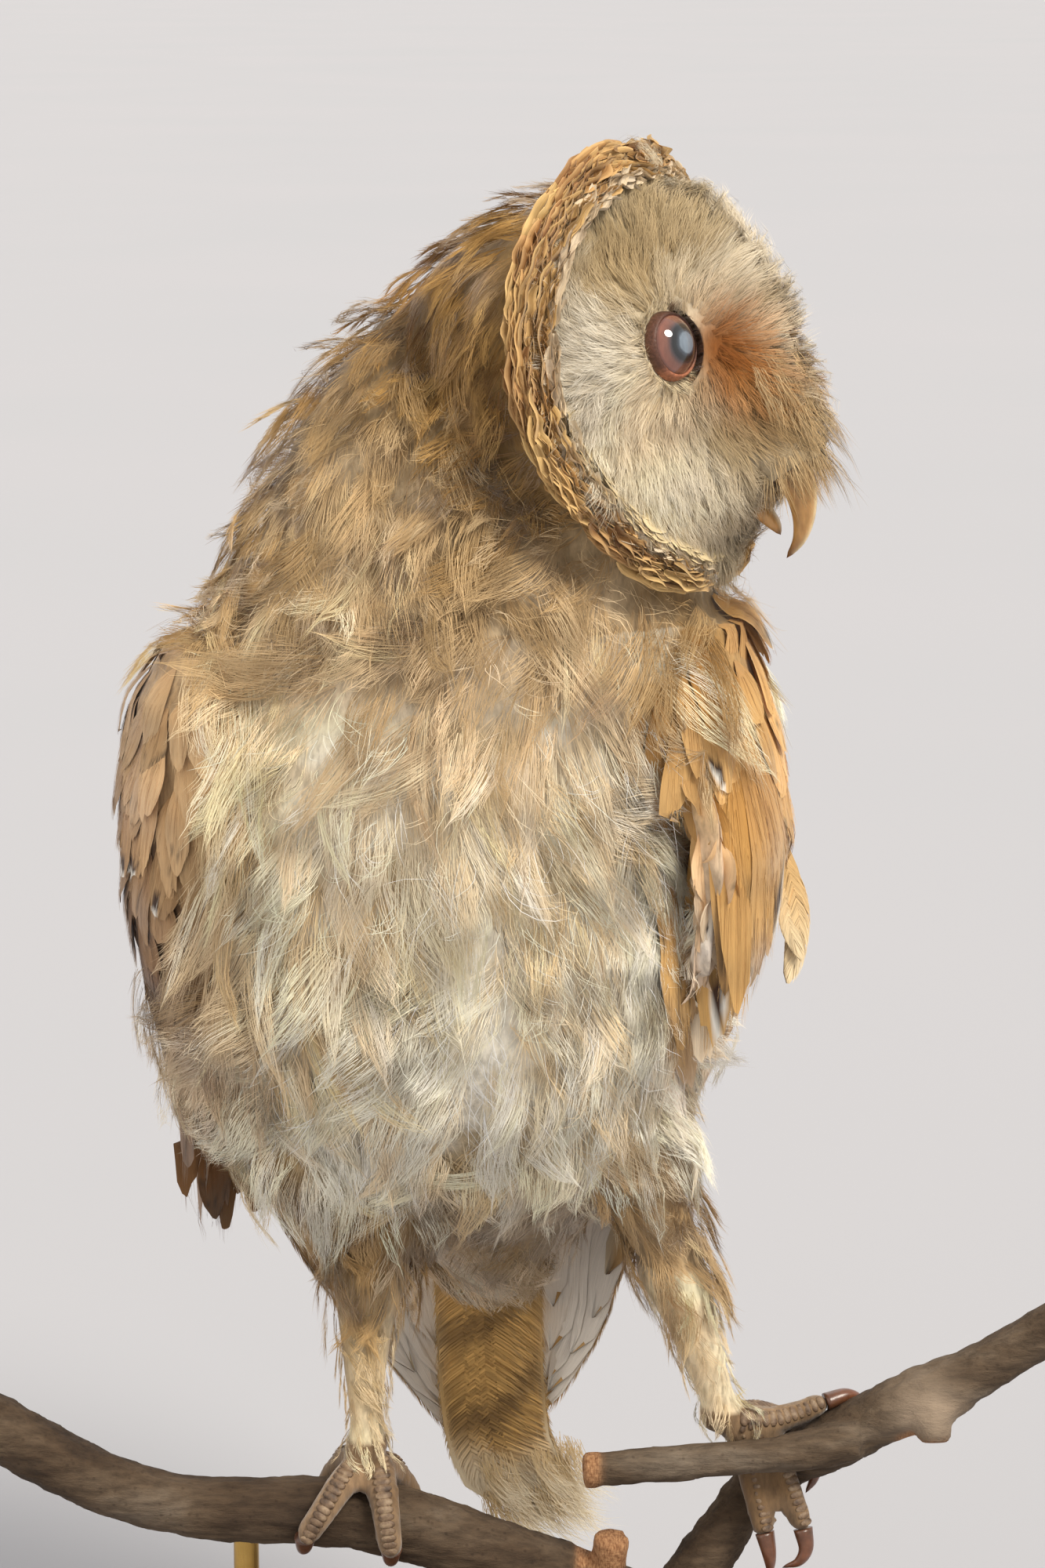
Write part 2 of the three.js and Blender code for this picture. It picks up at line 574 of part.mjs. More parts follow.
// ---------------------------------------------------------------- tail and wings clear of all that they lie on
const tail = without(tailWhole, bodyWhole, thighs.right, thighs.left);
const wings = {};
for (const [name, rows, side] of [
  ['wing_right', WING_RIGHT, -1],
  ['wing_left', WING_LEFT, 1],
]) {
  const whole = wing(rows, side);
  const cleared = without(whole, bodyWhole, tail, thighs.right, thighs.left, headWhole, ruff);
  const other = wings.wing_right_whole;
  const blade = other ? without(cleared, other) : cleared;
  wings[`${name}_whole`] = blade;
  wings[`${name}_shoulder`] = between(blade, WING_CUTS[0] + GAP, 400);
  wings[`${name}_coverts`] = between(blade, WING_CUTS[1] + GAP, WING_CUTS[0]);
  wings[`${name}_primaries`] = between(blade, 0, WING_CUTS[1]);
}
const looseCovert = without(tube(LOOSE_COVERT, 8, 2, true), wings.wing_left_whole, bodyWhole);

// ---------------------------------------------------------------- the finished part
const owl = new THREE.Group();
function place(name, body, material) {
  const mesh = new THREE.Mesh(geometryOf(biggest(body.simplify(TOLERANCE))), material);
  mesh.name = name;
  owl.add(mesh);
}

place('stand_base', standBase, STAND_WOOD);
for (const [name, place3] of Object.entries(RODS)) place(name, rod(place3), BRASS);
place('perch_limb', limb, BARK);
place('perch_fork', fork, BARK);
place('perch_spur', spur, BARK);
place('trunk', trunk, PLUMAGE);
place('neck', neck, PLUMAGE);
place('head', headBack, PLUMAGE);
place('facial_disc', face, FACE);
place('ruff', ruff, RUFF);
for (const [name, body] of Object.entries(eyes)) place(name, body, GLASS);
place('bill_upper', billUpper, HORN);
place('bill_lower', without(billLower, billUpper), HORN);
for (const part of ['shoulder', 'coverts', 'primaries']) {
  place(`wing_right_${part}`, wings[`wing_right_${part}`], GOLD);
  place(`wing_left_${part}`, wings[`wing_left_${part}`], GOLD);
}
place('loose_coverts', looseCovert, GOLD);
place('tail', tail, PLUMAGE);
for (const side of ['right', 'left']) {
  place(`thigh_${side}`, thighs[side], PLUMAGE);
  place(`shank_${side}`, shanks[side], PLUMAGE);
  place(`foot_${side}`, feet[side], TOE);
}
for (const [name, body] of Object.entries(claws)) place(name, body, CLAW);

export default owl;
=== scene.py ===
# %% [markdown]
# # A mounted barn owl on a forked branch
# This lesson dresses a still museum mount: an owl that grips a cut branch on a plain display
# stand. The solids of the frame give every outline. Here they get one skin, a coat of real mesh
# feathers, glass eyes, horn, bark and a quiet studio. All sizes are in metres.

# %% Load the frame
import math
import bmesh
import bpy
import numpy as np
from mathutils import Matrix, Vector
from mathutils.bvhtree import BVHTree


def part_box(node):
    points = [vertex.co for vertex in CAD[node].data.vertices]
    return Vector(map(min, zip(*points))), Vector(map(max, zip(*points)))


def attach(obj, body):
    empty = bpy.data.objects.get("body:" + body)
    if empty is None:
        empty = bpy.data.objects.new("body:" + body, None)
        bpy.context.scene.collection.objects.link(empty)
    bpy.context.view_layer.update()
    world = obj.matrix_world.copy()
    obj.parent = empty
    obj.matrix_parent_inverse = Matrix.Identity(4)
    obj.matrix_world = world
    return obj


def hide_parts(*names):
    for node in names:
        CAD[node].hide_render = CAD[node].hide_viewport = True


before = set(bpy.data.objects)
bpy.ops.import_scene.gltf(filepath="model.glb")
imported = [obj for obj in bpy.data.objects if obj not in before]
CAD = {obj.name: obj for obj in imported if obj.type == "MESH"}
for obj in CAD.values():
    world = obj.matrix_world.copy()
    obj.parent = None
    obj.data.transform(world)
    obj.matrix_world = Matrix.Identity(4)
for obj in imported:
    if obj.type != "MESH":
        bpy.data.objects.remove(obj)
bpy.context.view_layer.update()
MM = 0.001
new_dice = np.random.default_rng

# %% [markdown]
# ## The studio
# A mount is shown in even light, so that every lock of down reads. A very large pale floor also
# serves as the backdrop, since the camera looks slightly down on it. One broad light from the
# upper right gives form, a dimmer one from the left fills, a faint one from behind draws the
# edge, and a pale world closes the shadows.

# %% Makers of finishes
scene = bpy.context.scene
scene.view_settings.view_transform = "Standard"


def tone(red, green, blue):
    """A colour given on a screen's 0 to 255 scale, as the linear light a shader wants."""
    c = np.array([red, green, blue], float) / 255
    c = np.where(c <= 0.04045, c / 12.92, ((c + 0.055) / 1.055) ** 2.4)
    return (*[float(v) for v in c], 1.0)


def new_finish(name, roughness, **sockets):
    """A material with its shader; constant sockets are set straight on it."""
    material = bpy.data.materials.new(name)
    material.use_nodes = True
    shader = material.node_tree.nodes["Principled BSDF"]
    shader.inputs["Roughness"].default_value = roughness
    for key, value in sockets.items():
        shader.inputs[key.replace("_", " ")].default_value = value
    return material, material.node_tree, shader


def give(tree, socket, value):
    """Links a socket to another one, or sets it to a constant."""
    if isinstance(value, bpy.types.NodeSocket):
        tree.links.new(value, socket)
    else:
        socket.default_value = value


def add_node(tree, kind, settings=None, **inputs):
    made = tree.nodes.new(kind)
    for key, value in (settings or {}).items():
        setattr(made, key, value)
    for key, value in inputs.items():
        give(tree, made.inputs[key.replace("_", " ")], value)
    return made


def noise_on_object(tree, scale, detail, stretch=(1, 1, 1), roughness=0.55):
    """Noise on Object coordinates; scale counts waves in a metre."""
    coords = add_node(tree, "ShaderNodeTexCoord")
    placed = add_node(tree, "ShaderNodeMapping", Vector=coords.outputs["Object"], Scale=stretch)
    noise = add_node(tree, "ShaderNodeTexNoise", Vector=placed.outputs["Vector"], Scale=scale,
                     Detail=detail, Roughness=roughness)
    return noise.outputs["Fac"]


def ramp(tree, value, *stops):
    """A colour ramp; each stop is a place and a colour."""
    made = add_node(tree, "ShaderNodeValToRGB", Fac=value)
    band = made.color_ramp
    while len(band.elements) > 1:
        band.elements.remove(band.elements[-1])
    band.elements[0].position, band.elements[0].color = stops[0]
    for place, colour in stops[1:]:
        band.elements.new(place).color = colour
    return made.outputs["Color"]


def blend_colours(tree, a, b, factor, how="MIX"):
    made = add_node(tree, "ShaderNodeMix", {"data_type": "RGBA", "blend_type": how})
    for socket, value in ((made.inputs[0], factor), (made.inputs[6], a), (made.inputs[7], b)):
        give(tree, socket, value)
    return made.outputs[2]


def mottled(tree, base, noise, share, *stops):
    """A base colour multiplied by noise; each stop is a place and a grey or a colour."""
    stops = [(place, (v, v, v, 1) if isinstance(v, float) else v) for place, v in stops]
    return blend_colours(tree, base, ramp(tree, noise, *stops), share, "MULTIPLY")


def stored(tree, name, output="Fac"):
    """The output of an attribute that the mesh carries."""
    return add_node(tree, "ShaderNodeAttribute", {"attribute_name": name}).outputs[output]


def finished(tree, shader, colour, height=None, strength=0.0, distance=0.0):
    """Gives a shader its colour and, where a height is given, its bump."""
    tree.links.new(colour, shader.inputs["Base Color"])
    if height is not None:
        made = add_node(tree, "ShaderNodeBump", Height=height, Strength=strength,
                        Distance=distance)
        tree.links.new(made.outputs["Normal"], shader.inputs["Normal"])


def linked(name, data):
    """A new object of the scene round some mesh, lamp or camera data."""
    made = bpy.data.objects.new(name, data)
    scene.collection.objects.link(made)
    return made


# %% Floor
REACH = 40  # metres from the middle of the floor to its edge, far past the frame
floor_mesh = bpy.data.meshes.new("floor")
corners = [(-REACH, -REACH, 0), (REACH, -REACH, 0), (REACH, REACH, 0), (-REACH, REACH, 0)]
floor_mesh.from_pydata(corners, [], [(0, 1, 2, 3)])
paper, tree, shader = new_finish("pale_paper", 0.85)
mottle = noise_on_object(tree, 1.6, 2.0)
finished(tree, shader, ramp(tree, mottle, (0.3, tone(167, 167, 171)),
                            (0.7, tone(169, 168, 172))))
floor_mesh.materials.append(paper)
linked("floor", floor_mesh)

# %% World and lights
scene.world = bpy.data.worlds.new("studio")
scene.world.use_nodes = True
sky = scene.world.node_tree.nodes["Background"].inputs
sky["Color"].default_value = (1.0, 0.975, 0.94, 1)
sky["Strength"].default_value = 0.80


def soft_light(name, place, strength, spread, colour):
    """A sun as wide as a studio's soft box, so that the floor stays evenly lit."""
    lamp = bpy.data.lights.new(name, "SUN")
    lamp.energy, lamp.angle, lamp.color = strength, math.radians(spread), colour
    holder = linked(name, lamp)
    holder.location = place
    holder.rotation_euler = (-Vector(place)).to_track_quat("-Z", "Y").to_euler()


soft_light("key", (1.1, -1.2, 1.9), 3.35, 22, (1.0, 0.95, 0.86))
soft_light("fill", (-2.0, -1.3, 0.9), 0.6, 60, (1.0, 0.95, 0.88))
soft_light("rim", (-0.6, 1.8, 1.7), 0.4, 50, (1.0, 1.0, 1.0))

# %% Camera
AIM, DISTANCE, LOOKS_DOWN = Vector((0, 0, 0.255)), 0.95, math.radians(12)
camera_data = bpy.data.cameras.new("camera")
camera_data.lens, camera_data.sensor_fit, camera_data.sensor_height = 95, "VERTICAL", 36
camera_data.clip_start, camera_data.clip_end = 0.02, 40
camera = linked("camera", camera_data)
camera.location = AIM + DISTANCE * Vector((0, -math.cos(LOOKS_DOWN), math.sin(LOOKS_DOWN)))
camera.rotation_euler = (AIM - camera.location).to_track_quat("-Z", "Y").to_euler()
scene.camera = camera
print("camera at", [round(v, 4) for v in camera.location])

# %% [markdown]
# ## The skin
# Under its feathers the mount has one tanned skin over a body form. The flesh solids are joined,
# grown a little so that they meet, and turned into one closed surface by a voxel remesh. Then
# each point sinks by the depth of the coat that lies over it, so feathers fill the space that
# the solids gave. Remeshing is chosen because it melts all the seams at once.

# %% Join and remesh the flesh
COAT_DEPTH = {
    "trunk": 6.0, "neck": 6.5, "head": 4.5, "facial_disc": 2.4, "ruff": 2.0,
    "wing_right_shoulder": 3.4, "wing_left_shoulder": 3.4, "wing_right_coverts": 2.6,
    "wing_left_coverts": 2.6, "thigh_right": 3.6, "thigh_left": 3.6, "shank_right": 1.5,
    "shank_left": 1.5, "foot_right": 0.25, "foot_left": 0.25,
}
FLESH = list(COAT_DEPTH)
GROW = {name: 2.4 if name == "trunk" or name.startswith("wing") else 0.4 for name in FLESH}


def node_copy(names, grow=None):
    """Merged copies of CAD nodes in one bmesh, each grown outwards by its own millimetres."""
    whole = bmesh.new()
    owner = []
    for index, name in enumerate(names):
        part = bmesh.new()
        part.from_mesh(CAD[name].data)
        bmesh.ops.remove_doubles(part, verts=part.verts, dist=1e-6)
        part.normal_update()
        for vert in part.verts:
            vert.co += vert.normal * (grow or {}).get(name, 0) * MM
        spare = bpy.data.meshes.new("spare")
        part.to_mesh(spare)
        part.free()
        whole.from_mesh(spare)
        owner += [index] * len(spare.polygons)
        bpy.data.meshes.remove(spare)
    return whole, np.array(owner)


def dress(piece, slot=None, *nodes):
    """Hangs a finished piece on the frame's root and hides the solids it stands for; slot is not used."""
    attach(piece, "root")
    if nodes:
        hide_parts(*nodes)
    return piece


def applied(piece):
    """The piece's mesh with its modifiers, as plain data; the modifiers go."""
    ready = bpy.data.meshes.new_from_object(
        piece.evaluated_get(bpy.context.evaluated_depsgraph_get()))
    old = piece.data
    piece.modifiers.clear()
    piece.data = ready
    bpy.data.meshes.remove(old)
    return piece


def voxel_form(name, nodes, grow, voxel):
    """One closed surface round several solids."""
    whole, _ = node_copy(nodes, grow)
    mesh = bpy.data.meshes.new(name)
    whole.to_mesh(mesh)
    whole.free()
    piece = linked(name, mesh)
    remesh = piece.modifiers.new("remesh", "REMESH")
    remesh.mode, remesh.voxel_size = "VOXEL", voxel
    return applied(piece)


def points_of(mesh, what="co"):
    """Places (co) or directions (normal) of all points, as rows."""
    values = np.empty(len(mesh.vertices) * 3)
    mesh.vertices.foreach_get(what, values)
    return values.reshape(-1, 3)


def move_points(mesh, points):
    mesh.vertices.foreach_set("co", points.ravel())
    mesh.update()


def edges_of(mesh):
    pairs = np.empty(len(mesh.edges) * 2, int)
    mesh.edges.foreach_get("vertices", pairs)
    return pairs.reshape(-1, 2)


def relaxed(values, pairs, rounds):
    """Values of neighbours drawn together along the edges."""
    count = np.zeros(len(values))
    np.add.at(count, pairs[:, 0], 1)
    np.add.at(count, pairs[:, 1], 1)
    shape = (-1,) + (1,) * (values.ndim - 1)
    for _ in range(rounds):
        total = np.zeros_like(values)
        np.add.at(total, pairs[:, 0], values[pairs[:, 1]])
        np.add.at(total, pairs[:, 1], values[pairs[:, 0]])
        values = values + 0.5 * (total / count.reshape(shape) - values)
    return values


skin = voxel_form("skin", FLESH, GROW, 1.45 * MM)
print("skin faces:", len(skin.data.polygons))

# %% [markdown]
# The head is turned to the owl's left and looks up a little. Everything on it is easier to place
# in millimetres forward, to the owl's right and up from the middle of the skull, so the head gets
# a small frame of its own.

# %% The head's own frame
HEAD = np.array((38, -15, 353)) * MM
yaw, pitch = math.radians(62), math.radians(16)
FORE = np.array((math.cos(pitch) * math.sin(yaw), -math.cos(pitch) * math.cos(yaw), math.sin(pitch)))
UP = np.array((-math.sin(pitch) * math.sin(yaw), math.sin(pitch) * math.cos(yaw), math.cos(pitch)))
SIDE = np.cross(FORE, UP)


def on_head(points):
    """Millimetres forward, to the owl's right and up from the head's centre."""
    away = (np.asarray(points) - HEAD) / MM
    return away @ FORE, away @ SIDE, away @ UP


def from_head(f, r, u):
    """The place of a point given in the head's own millimetres."""
    f, r, u = (np.asarray(v, float)[..., None] for v in (f, r, u))
    return HEAD + (f * FORE + r * SIDE + u * UP) * MM


# %% [markdown]
# A taxidermist's form is smaller than the dressed bird, because the coat adds its own depth. So
# each point of the skin finds the solid that it came from and sinks by that part's depth. The
# depths are relaxed along the edges first, which leaves no step between two parts.

# %% Sink the skin by the depth of the coat
labelled, owner = node_copy(FLESH)
finder = BVHTree.FromBMesh(labelled)


def nearest(tree, points):
    """Nearest place, normal and face on a surface for many points."""
    place, normal, face = np.empty_like(points), np.empty_like(points), np.empty(len(points), int)
    find = tree.find_nearest
    for i, p in enumerate(points.tolist()):
        place[i], normal[i], face[i], _ = find(p)
    return place, normal, face


flesh_points = points_of(skin.data)
_, _, face = nearest(finder, flesh_points)
skin_part = owner[face]
labelled.free()


def in_part(part, *names):
    """True where a point's part, a number in FLESH, is one of these."""
    return np.isin(part, [FLESH.index(n) for n in names])


RIDGE_DEPTH, RIDGE_HALF = 3.4, 9  # the brush between the eyes stands on deeper skin (mm)
links = edges_of(skin.data)
sink = np.array([COAT_DEPTH[n] + GROW[n] - 0.4 for n in FLESH])[skin_part]
_, across_face, _ = on_head(flesh_points)
sink += in_part(skin_part, "facial_disc") * RIDGE_DEPTH * np.exp(-(across_face / RIDGE_HALF) ** 2)
sink = relaxed(sink * MM, links, 12)
normals = relaxed(points_of(skin.data, "normal"), links, 3)
normals /= np.linalg.norm(normals, axis=1, keepdims=True)
dropped = flesh_points - normals * sink[:, None]
toes = in_part(skin_part, "foot_right", "foot_left")
sunk = np.where(toes[:, None], relaxed(dropped, links, 1), relaxed(dropped, links, 4))

# %% [markdown]
# The skin of the face swells round each eye to meet the lids, so only a lens of the ball shows
# between them, as on a living owl.

# %% Sockets of the eyes
EYE_FORWARD, EYE_SIDE, EYE_UP, EYE_RADIUS = 1.4, 18.0, 5.0, 8.2  # mm in the head's own frame


def unit(v):
    return v / np.maximum(np.linalg.norm(v, axis=-1, keepdims=True), 1e-12)


def gaze_line(side):
    """The line of sight: forward, turned out by 12 degrees."""
    return unit(FORE * math.cos(math.radians(12)) + SIDE * side * math.sin(math.radians(12)) - 0.03 * UP)


def eye_centre(side):
    return from_head(EYE_FORWARD, side * EYE_SIDE, EYE_UP)


for side in (1, -1):
    line = gaze_line(side)
    from_eye = (sunk - eye_centre(side)) / MM
    high = from_eye @ line
    reach = np.linalg.norm(from_eye - high[:, None] * line, axis=1)
    near = np.clip((21 - reach) / 12, 0, 1) ** 1.3 * (high > -12) * in_part(skin_part, "facial_disc")
    sunk += (near * np.maximum(2.6 - high, 0))[:, None] * line * MM
sunk = np.where(toes[:, None], sunk, relaxed(sunk, links, 2))
move_points(skin.data, sunk)
skin.data.shade_smooth()
skin_body = bmesh.new()
skin_body.from_mesh(skin.data)
bmesh.ops.triangulate(skin_body, faces=skin_body.faces)
skin_tree = BVHTree.FromBMesh(skin_body)
skin_tris = np.array([[v.index for v in f.verts] for f in skin_body.faces])
skin_body.free()
skin_points = sunk
print("skin sinks by up to", round(float(sink.max()) * 1000, 2), "mm; triangles", len(skin_tris))

# %% [markdown]
# ## Markings
# A barn owl is cream below and golden above, with a white face, a rust stain by the eye and
# grey, finely peppered feathers on the wing. Skin and coat must agree, so one function gives
# the colour of any point: a ground colour for each part, soft patches laid over it,
# and slow waves that keep neighbouring locks from matching.
# Some patches, and the darker colours of the right wing, are painted shade where less light falls.

# %% Colours by place
def waves(points, size, seed):
    """Smooth numbers from about -1 to 1; size is the length of a wave in metres."""
    dice = new_dice(seed)
    way = dice.normal(size=(7, 3))
    way /= np.linalg.norm(way, axis=1, keepdims=True)
    pace = 2 * np.pi / size * dice.uniform(0.6, 1.5, 7)
    return np.sin(points @ (way * pace[:, None]).T + dice.uniform(0, 6.28, 7)).sum(1) / 2.6


def ease(value, low, high):
    x = np.clip((np.asarray(value) - low) / (high - low), 0, 1)
    return x * x * (3 - 2 * x)


def rgb(*screen):
    return np.array(tone(*screen)[:3])


CREAM, WHITE, BUFF = rgb(242, 230, 207), rgb(246, 241, 230), rgb(212, 186, 142)
GOLD, TAN = rgb(220, 172, 102), rgb(180, 150, 104)
BROWN, DARK = rgb(104, 68, 36), rgb(52, 32, 20)
GREY, ASH = rgb(158, 142, 134), rgb(132, 116, 98)
GROUND = {"trunk": CREAM, "neck": rgb(168, 142, 102), "head": rgb(152, 120, 70),
          "facial_disc": rgb(191, 175, 145), "ruff": GOLD,
          # the right wing's darker ground is painted shade, on the side turned from the key light
          "wing_right_shoulder": rgb(156, 116, 70), "wing_left_shoulder": rgb(204, 160, 96),
          "wing_right_coverts": rgb(128, 82, 36), "wing_left_coverts": rgb(196, 148, 78),
          "thigh_right": BUFF, "thigh_left": rgb(184, 160, 124),
          "shank_right": rgb(226, 206, 170), "shank_left": rgb(230, 210, 176),
          "foot_right": rgb(132, 106, 78), "foot_left": rgb(132, 106, 78)}
PATCHES = [  # place, reach on each axis (mm), colour, strength
    # painted shade: a darker tan band on the upper breast, under the head and ruff
    ((-18, -45, 293), (62, 34, 18), rgb(160, 132, 92), 0.8),
    ((10, -50, 305), (30, 20, 12), CREAM, 0.4),
    ((-46, -30, 312), (26, 30, 18), CREAM, 0.6),
    ((-62, -30, 238), (24, 40, 52), rgb(206, 180, 138), 0.6),
    ((-60, -10, 300), (30, 40, 26), BUFF, 0.5),
    ((-15, 66, 230), (90, 50, 120), rgb(190, 146, 86), 0.95),
    ((-15, 62, 250), (26, 30, 60), GREY, 0.5),
    # painted shade: brown low under the belly, where the undertail lies in shadow
    ((-20, 15, 152), (46, 44, 20), rgb(134, 102, 58), 0.9),
    ((-10, -50, 190), (46, 24, 20), WHITE, 0.55),
    ((30, -44, 225), (20, 24, 30), WHITE, 0.5),
    ((-82, -12, 278), (14, 40, 14), rgb(204, 170, 126), 0.7),
    # painted shade: darker brown on the right wing, deepest low at its front edge by the breast
    ((-86, 0, 232), (20, 30, 26), rgb(104, 70, 38), 0.9),
    ((-72, -30, 205), (12, 26, 22), BROWN, 0.75),
    ((58, -20, 245), (14, 30, 10), GREY, 0.35),
    ((36, -24, 212), (14, 34, 24), rgb(250, 244, 238), 0.9),
]
FACE_PATCHES = [  # colour, place aside and up, reach aside and up (mm), strength
    (WHITE, 33, 4, 8, 22, 0.6), (CREAM, 18, -22, 14, 12, 0.6), (WHITE, 4, 14, 9, 22, 0.3),
    (BUFF, 20, 22, 8, 9, 0.15), (BUFF, 26, -8, 6, 10, 0.3),
    (rgb(190, 132, 62), 9.5, 0, 5.0, 9, 0.55), (rgb(164, 102, 34), 10.5, 0, 3.2, 8.0, 1.0),
    (rgb(134, 76, 22), 11.0, 2, 2.6, 6.0, 1.0), (rgb(182, 120, 54), 7.5, -8, 4.5, 6, 0.8),
    (TAN, 6, -16, 6, 9, 0.6), (TAN, 3, -30, 5, 6, 0.3), (BROWN, 19, -9, 3.4, 2.2, 0.6),
]


def plumage(points, part):
    """The colour of the coat and of the skin at each point; part is its number in FLESH."""
    colour = np.array([GROUND[n] for n in FLESH])[part]
    p = np.asarray(points) / MM
    face = in_part(part, "facial_disc").astype(float)
    for place, reach, paint, strength in PATCHES:
        away = (((p - place) / reach) ** 2).sum(1)
        share = strength * np.exp(-away)[:, None] * (1 - face)[:, None]
        colour = colour + share * (paint - colour)
    _, r, u = on_head(points)
    for paint, r0, u0, wide, high, strength in FACE_PATCHES:
        share = strength * face * np.exp(-((np.abs(r) - r0) / wide) ** 2 - ((u - u0) / high) ** 2)
        colour = colour + share[:, None] * (paint - colour)
    slow = 0.7 * waves(points, 0.04, 5) + 0.6 * waves(points, 0.015, 6) + 0.15 * waves(points, 0.006, 7)
    slow = slow * np.where(in_part(part, "trunk", "neck"), 1.5, 1)
    light, dark = np.clip(slow, 0, 1)[:, None], np.clip(-slow, 0, 1)[:, None]
    pale = np.minimum(colour * 1.4 + 0.16 * colour[:, 2:], rgb(252, 244, 226))
    colour = colour + 0.85 * light * (pale - colour)
    return colour * (1 - dark * np.array((0.21, 0.29, 0.43)))


skin_colour = plumage(skin_points, skin_part)
print("markings from", np.round(skin_colour.min(0), 3), "to", np.round(skin_colour.max(0), 3))

# %% [markdown]
# ## How a feather is made
# A contour feather is a bent shaft with two rows of barbs. On an owl the barbs are long and
# soft, they cling together in pointed locks, and they hide the shaft. So each feather here is
# a shaft that walks down over the skin while it lifts, with barbs that leave it sideways and
# curve to its tip. A barb is a thin tapered ribbon of a few triangles. Whole arrays of feathers
# are made at once, and then joined to a few plain meshes.

# %% Roots on the skin
CROWD = 5.0  # tries for each root that the spacing leaves room for
NEIGHBOURS = [(i, j, k) for i in (-1, 0, 1) for j in (-1, 0, 1) for k in (-1, 0, 1)]


def crowded(spot, others, spacing):
    """Whether a place lies nearer than the spacing to one of the others."""
    x, y, z = spot
    return any((x - a) ** 2 + (y - b) ** 2 + (z - c) ** 2 < spacing ** 2 for a, b, c in others)


def scatter(parts, spacing, seed, keep=None):
    """Even but random roots on the skin of some parts; keep thins them by place."""
    dice = new_dice(seed)
    tris = skin_tris[in_part(skin_part[skin_tris[:, 0]], *parts)]
    a, b, c = (skin_points[tris[:, i]] for i in range(3))
    size = np.linalg.norm(np.cross(b - a, c - a), axis=1) / 2
    total = int(CROWD * size.sum() / spacing ** 2)
    pick = dice.choice(len(tris), total, p=size / size.sum())
    u, v = dice.random((2, total, 1))
    flip = u + v > 1
    u, v = np.where(flip, 1 - u, u), np.where(flip, 1 - v, v)
    place = a[pick] + u * (b - a)[pick] + v * (c - a)[pick]
    part = skin_part[tris[pick, 0]]
    if keep is not None:
        stays = keep(place) > dice.random(total)
        place, part = place[stays], part[stays]
    cells, chosen = {}, []
    keys = np.floor(place / spacing).astype(int).tolist()
    for index, ((x, y, z), spot) in enumerate(zip(keys, place.tolist())):
        near = [other for i, j, k in NEIGHBOURS for other in cells.get((x + i, y + j, z + k), ())]
        if not crowded(spot, near, spacing):
            cells.setdefault((x, y, z), []).append(spot)
            chosen.append(index)
    return place[chosen], part[chosen]


# %% Shafts that walk over the skin
def along(v, normal):
    """The part of v that lies in the surface, at unit length."""
    return unit(v - (v * normal).sum(-1, keepdims=True) * normal)


def turned(v, normal, angle):
    """v turned about the normal."""
    angle = np.broadcast_to(angle, v.shape[:1])[:, None]
    return v * np.cos(angle) + np.cross(normal, v) * np.sin(angle)


def walk(roots, lie, length, rise, steps, twist=0.0, bend=0.0, lift=0.0, hang=None):
    """Stations of each shaft, and the outward normal at each; lie gives the way at a place.
    Where hang is given, a shaft that folds round an edge of the skin hangs on past it."""
    place, normal, _ = nearest(skin_tree, roots)
    normal = unit(normal)
    pace = np.reshape(length / steps, (-1, 1))
    stations, outward = [], []
    for i in range(steps + 1):
        t = i / steps
        height = rise * (1 - (1 - t) ** 2) + lift * t * t
        stations.append(place + normal * np.reshape(height, (-1, 1)))
        outward.append(normal)
        if i < steps:
            way = turned(along(lie(place), normal), normal, twist + bend * t)
            place, fresh, _ = nearest(skin_tree, place + way * pace)
            normal = unit(normal * 0.4 + fresh * 0.6)
    for i in range(2, steps + 1 if hang else 0):
        before, now = unit(stations[i - 1] - stations[i - 2]), unit(stations[i] - stations[i - 1])
        folds = ((before * now).sum(-1) < 0.85)[:, None]
        straight = stations[i - 1] + unit(before * 0.25 + hang) * pace
        stations[i] = np.where(folds, straight, stations[i])
        outward[i] = np.where(folds, outward[i - 1], outward[i])
    return np.stack(stations, 1), np.stack(outward, 1)


def at(values, t):
    """Values along stations, read at shares t between 0 and 1."""
    last = values.shape[1] - 1
    x = np.clip(t, 0, 1) * last
    low = np.minimum(x.astype(int), last - 1)
    share = (x - low)[..., None]
    row = np.arange(len(values)).reshape((-1,) + (1,) * (t.ndim - 1))
    return values[row, low] * (1 - share) + values[row, low + 1] * share


def way_at(shafts, t):
    """The way that each shaft runs at the shares t."""
    return unit(at(shafts, np.minimum(t + 0.08, 1)) - at(shafts, np.maximum(t - 0.08, 0)))


def length_of(shafts):
    return np.linalg.norm(np.diff(shafts, axis=1), axis=-1).sum(1)


# %% Ribbons from lines
def ribbons(lines, across, width):
    """Tapered ribbons that end in a point; lines is (count, stations, 3), and the last is the tip."""
    count, stations, _ = lines.shape
    pairs = stations - 1
    taper = np.linspace(1, 0.55, pairs)[None, :, None]
    half = across[:, :pairs] * np.reshape(width, (-1, 1, 1)) * taper / 2
    points = np.empty((count, 2 * pairs + 1, 3))
    points[:, 0:2 * pairs:2] = lines[:, :pairs] - half
    points[:, 1:2 * pairs:2] = lines[:, :pairs] + half
    points[:, -1] = lines[:, -1]
    tris = [tri for a in range(0, 2 * pairs - 2, 2) for tri in ((a, a + 1, a + 3), (a, a + 3, a + 2))]
    tris.append((2 * pairs - 2, 2 * pairs - 1, 2 * pairs))
    tris = np.array(tris)[None] + (np.arange(count) * (2 * pairs + 1))[:, None, None]
    return points, tris


def tint_layer(mesh, colours):
    """Keeps a colour on each point of a mesh, under the name that the finishes read."""
    tint = mesh.color_attributes.new("tint", "FLOAT_COLOR", "POINT")
    tint.data.foreach_set("color", np.c_[colours, np.ones(len(colours))].ravel())


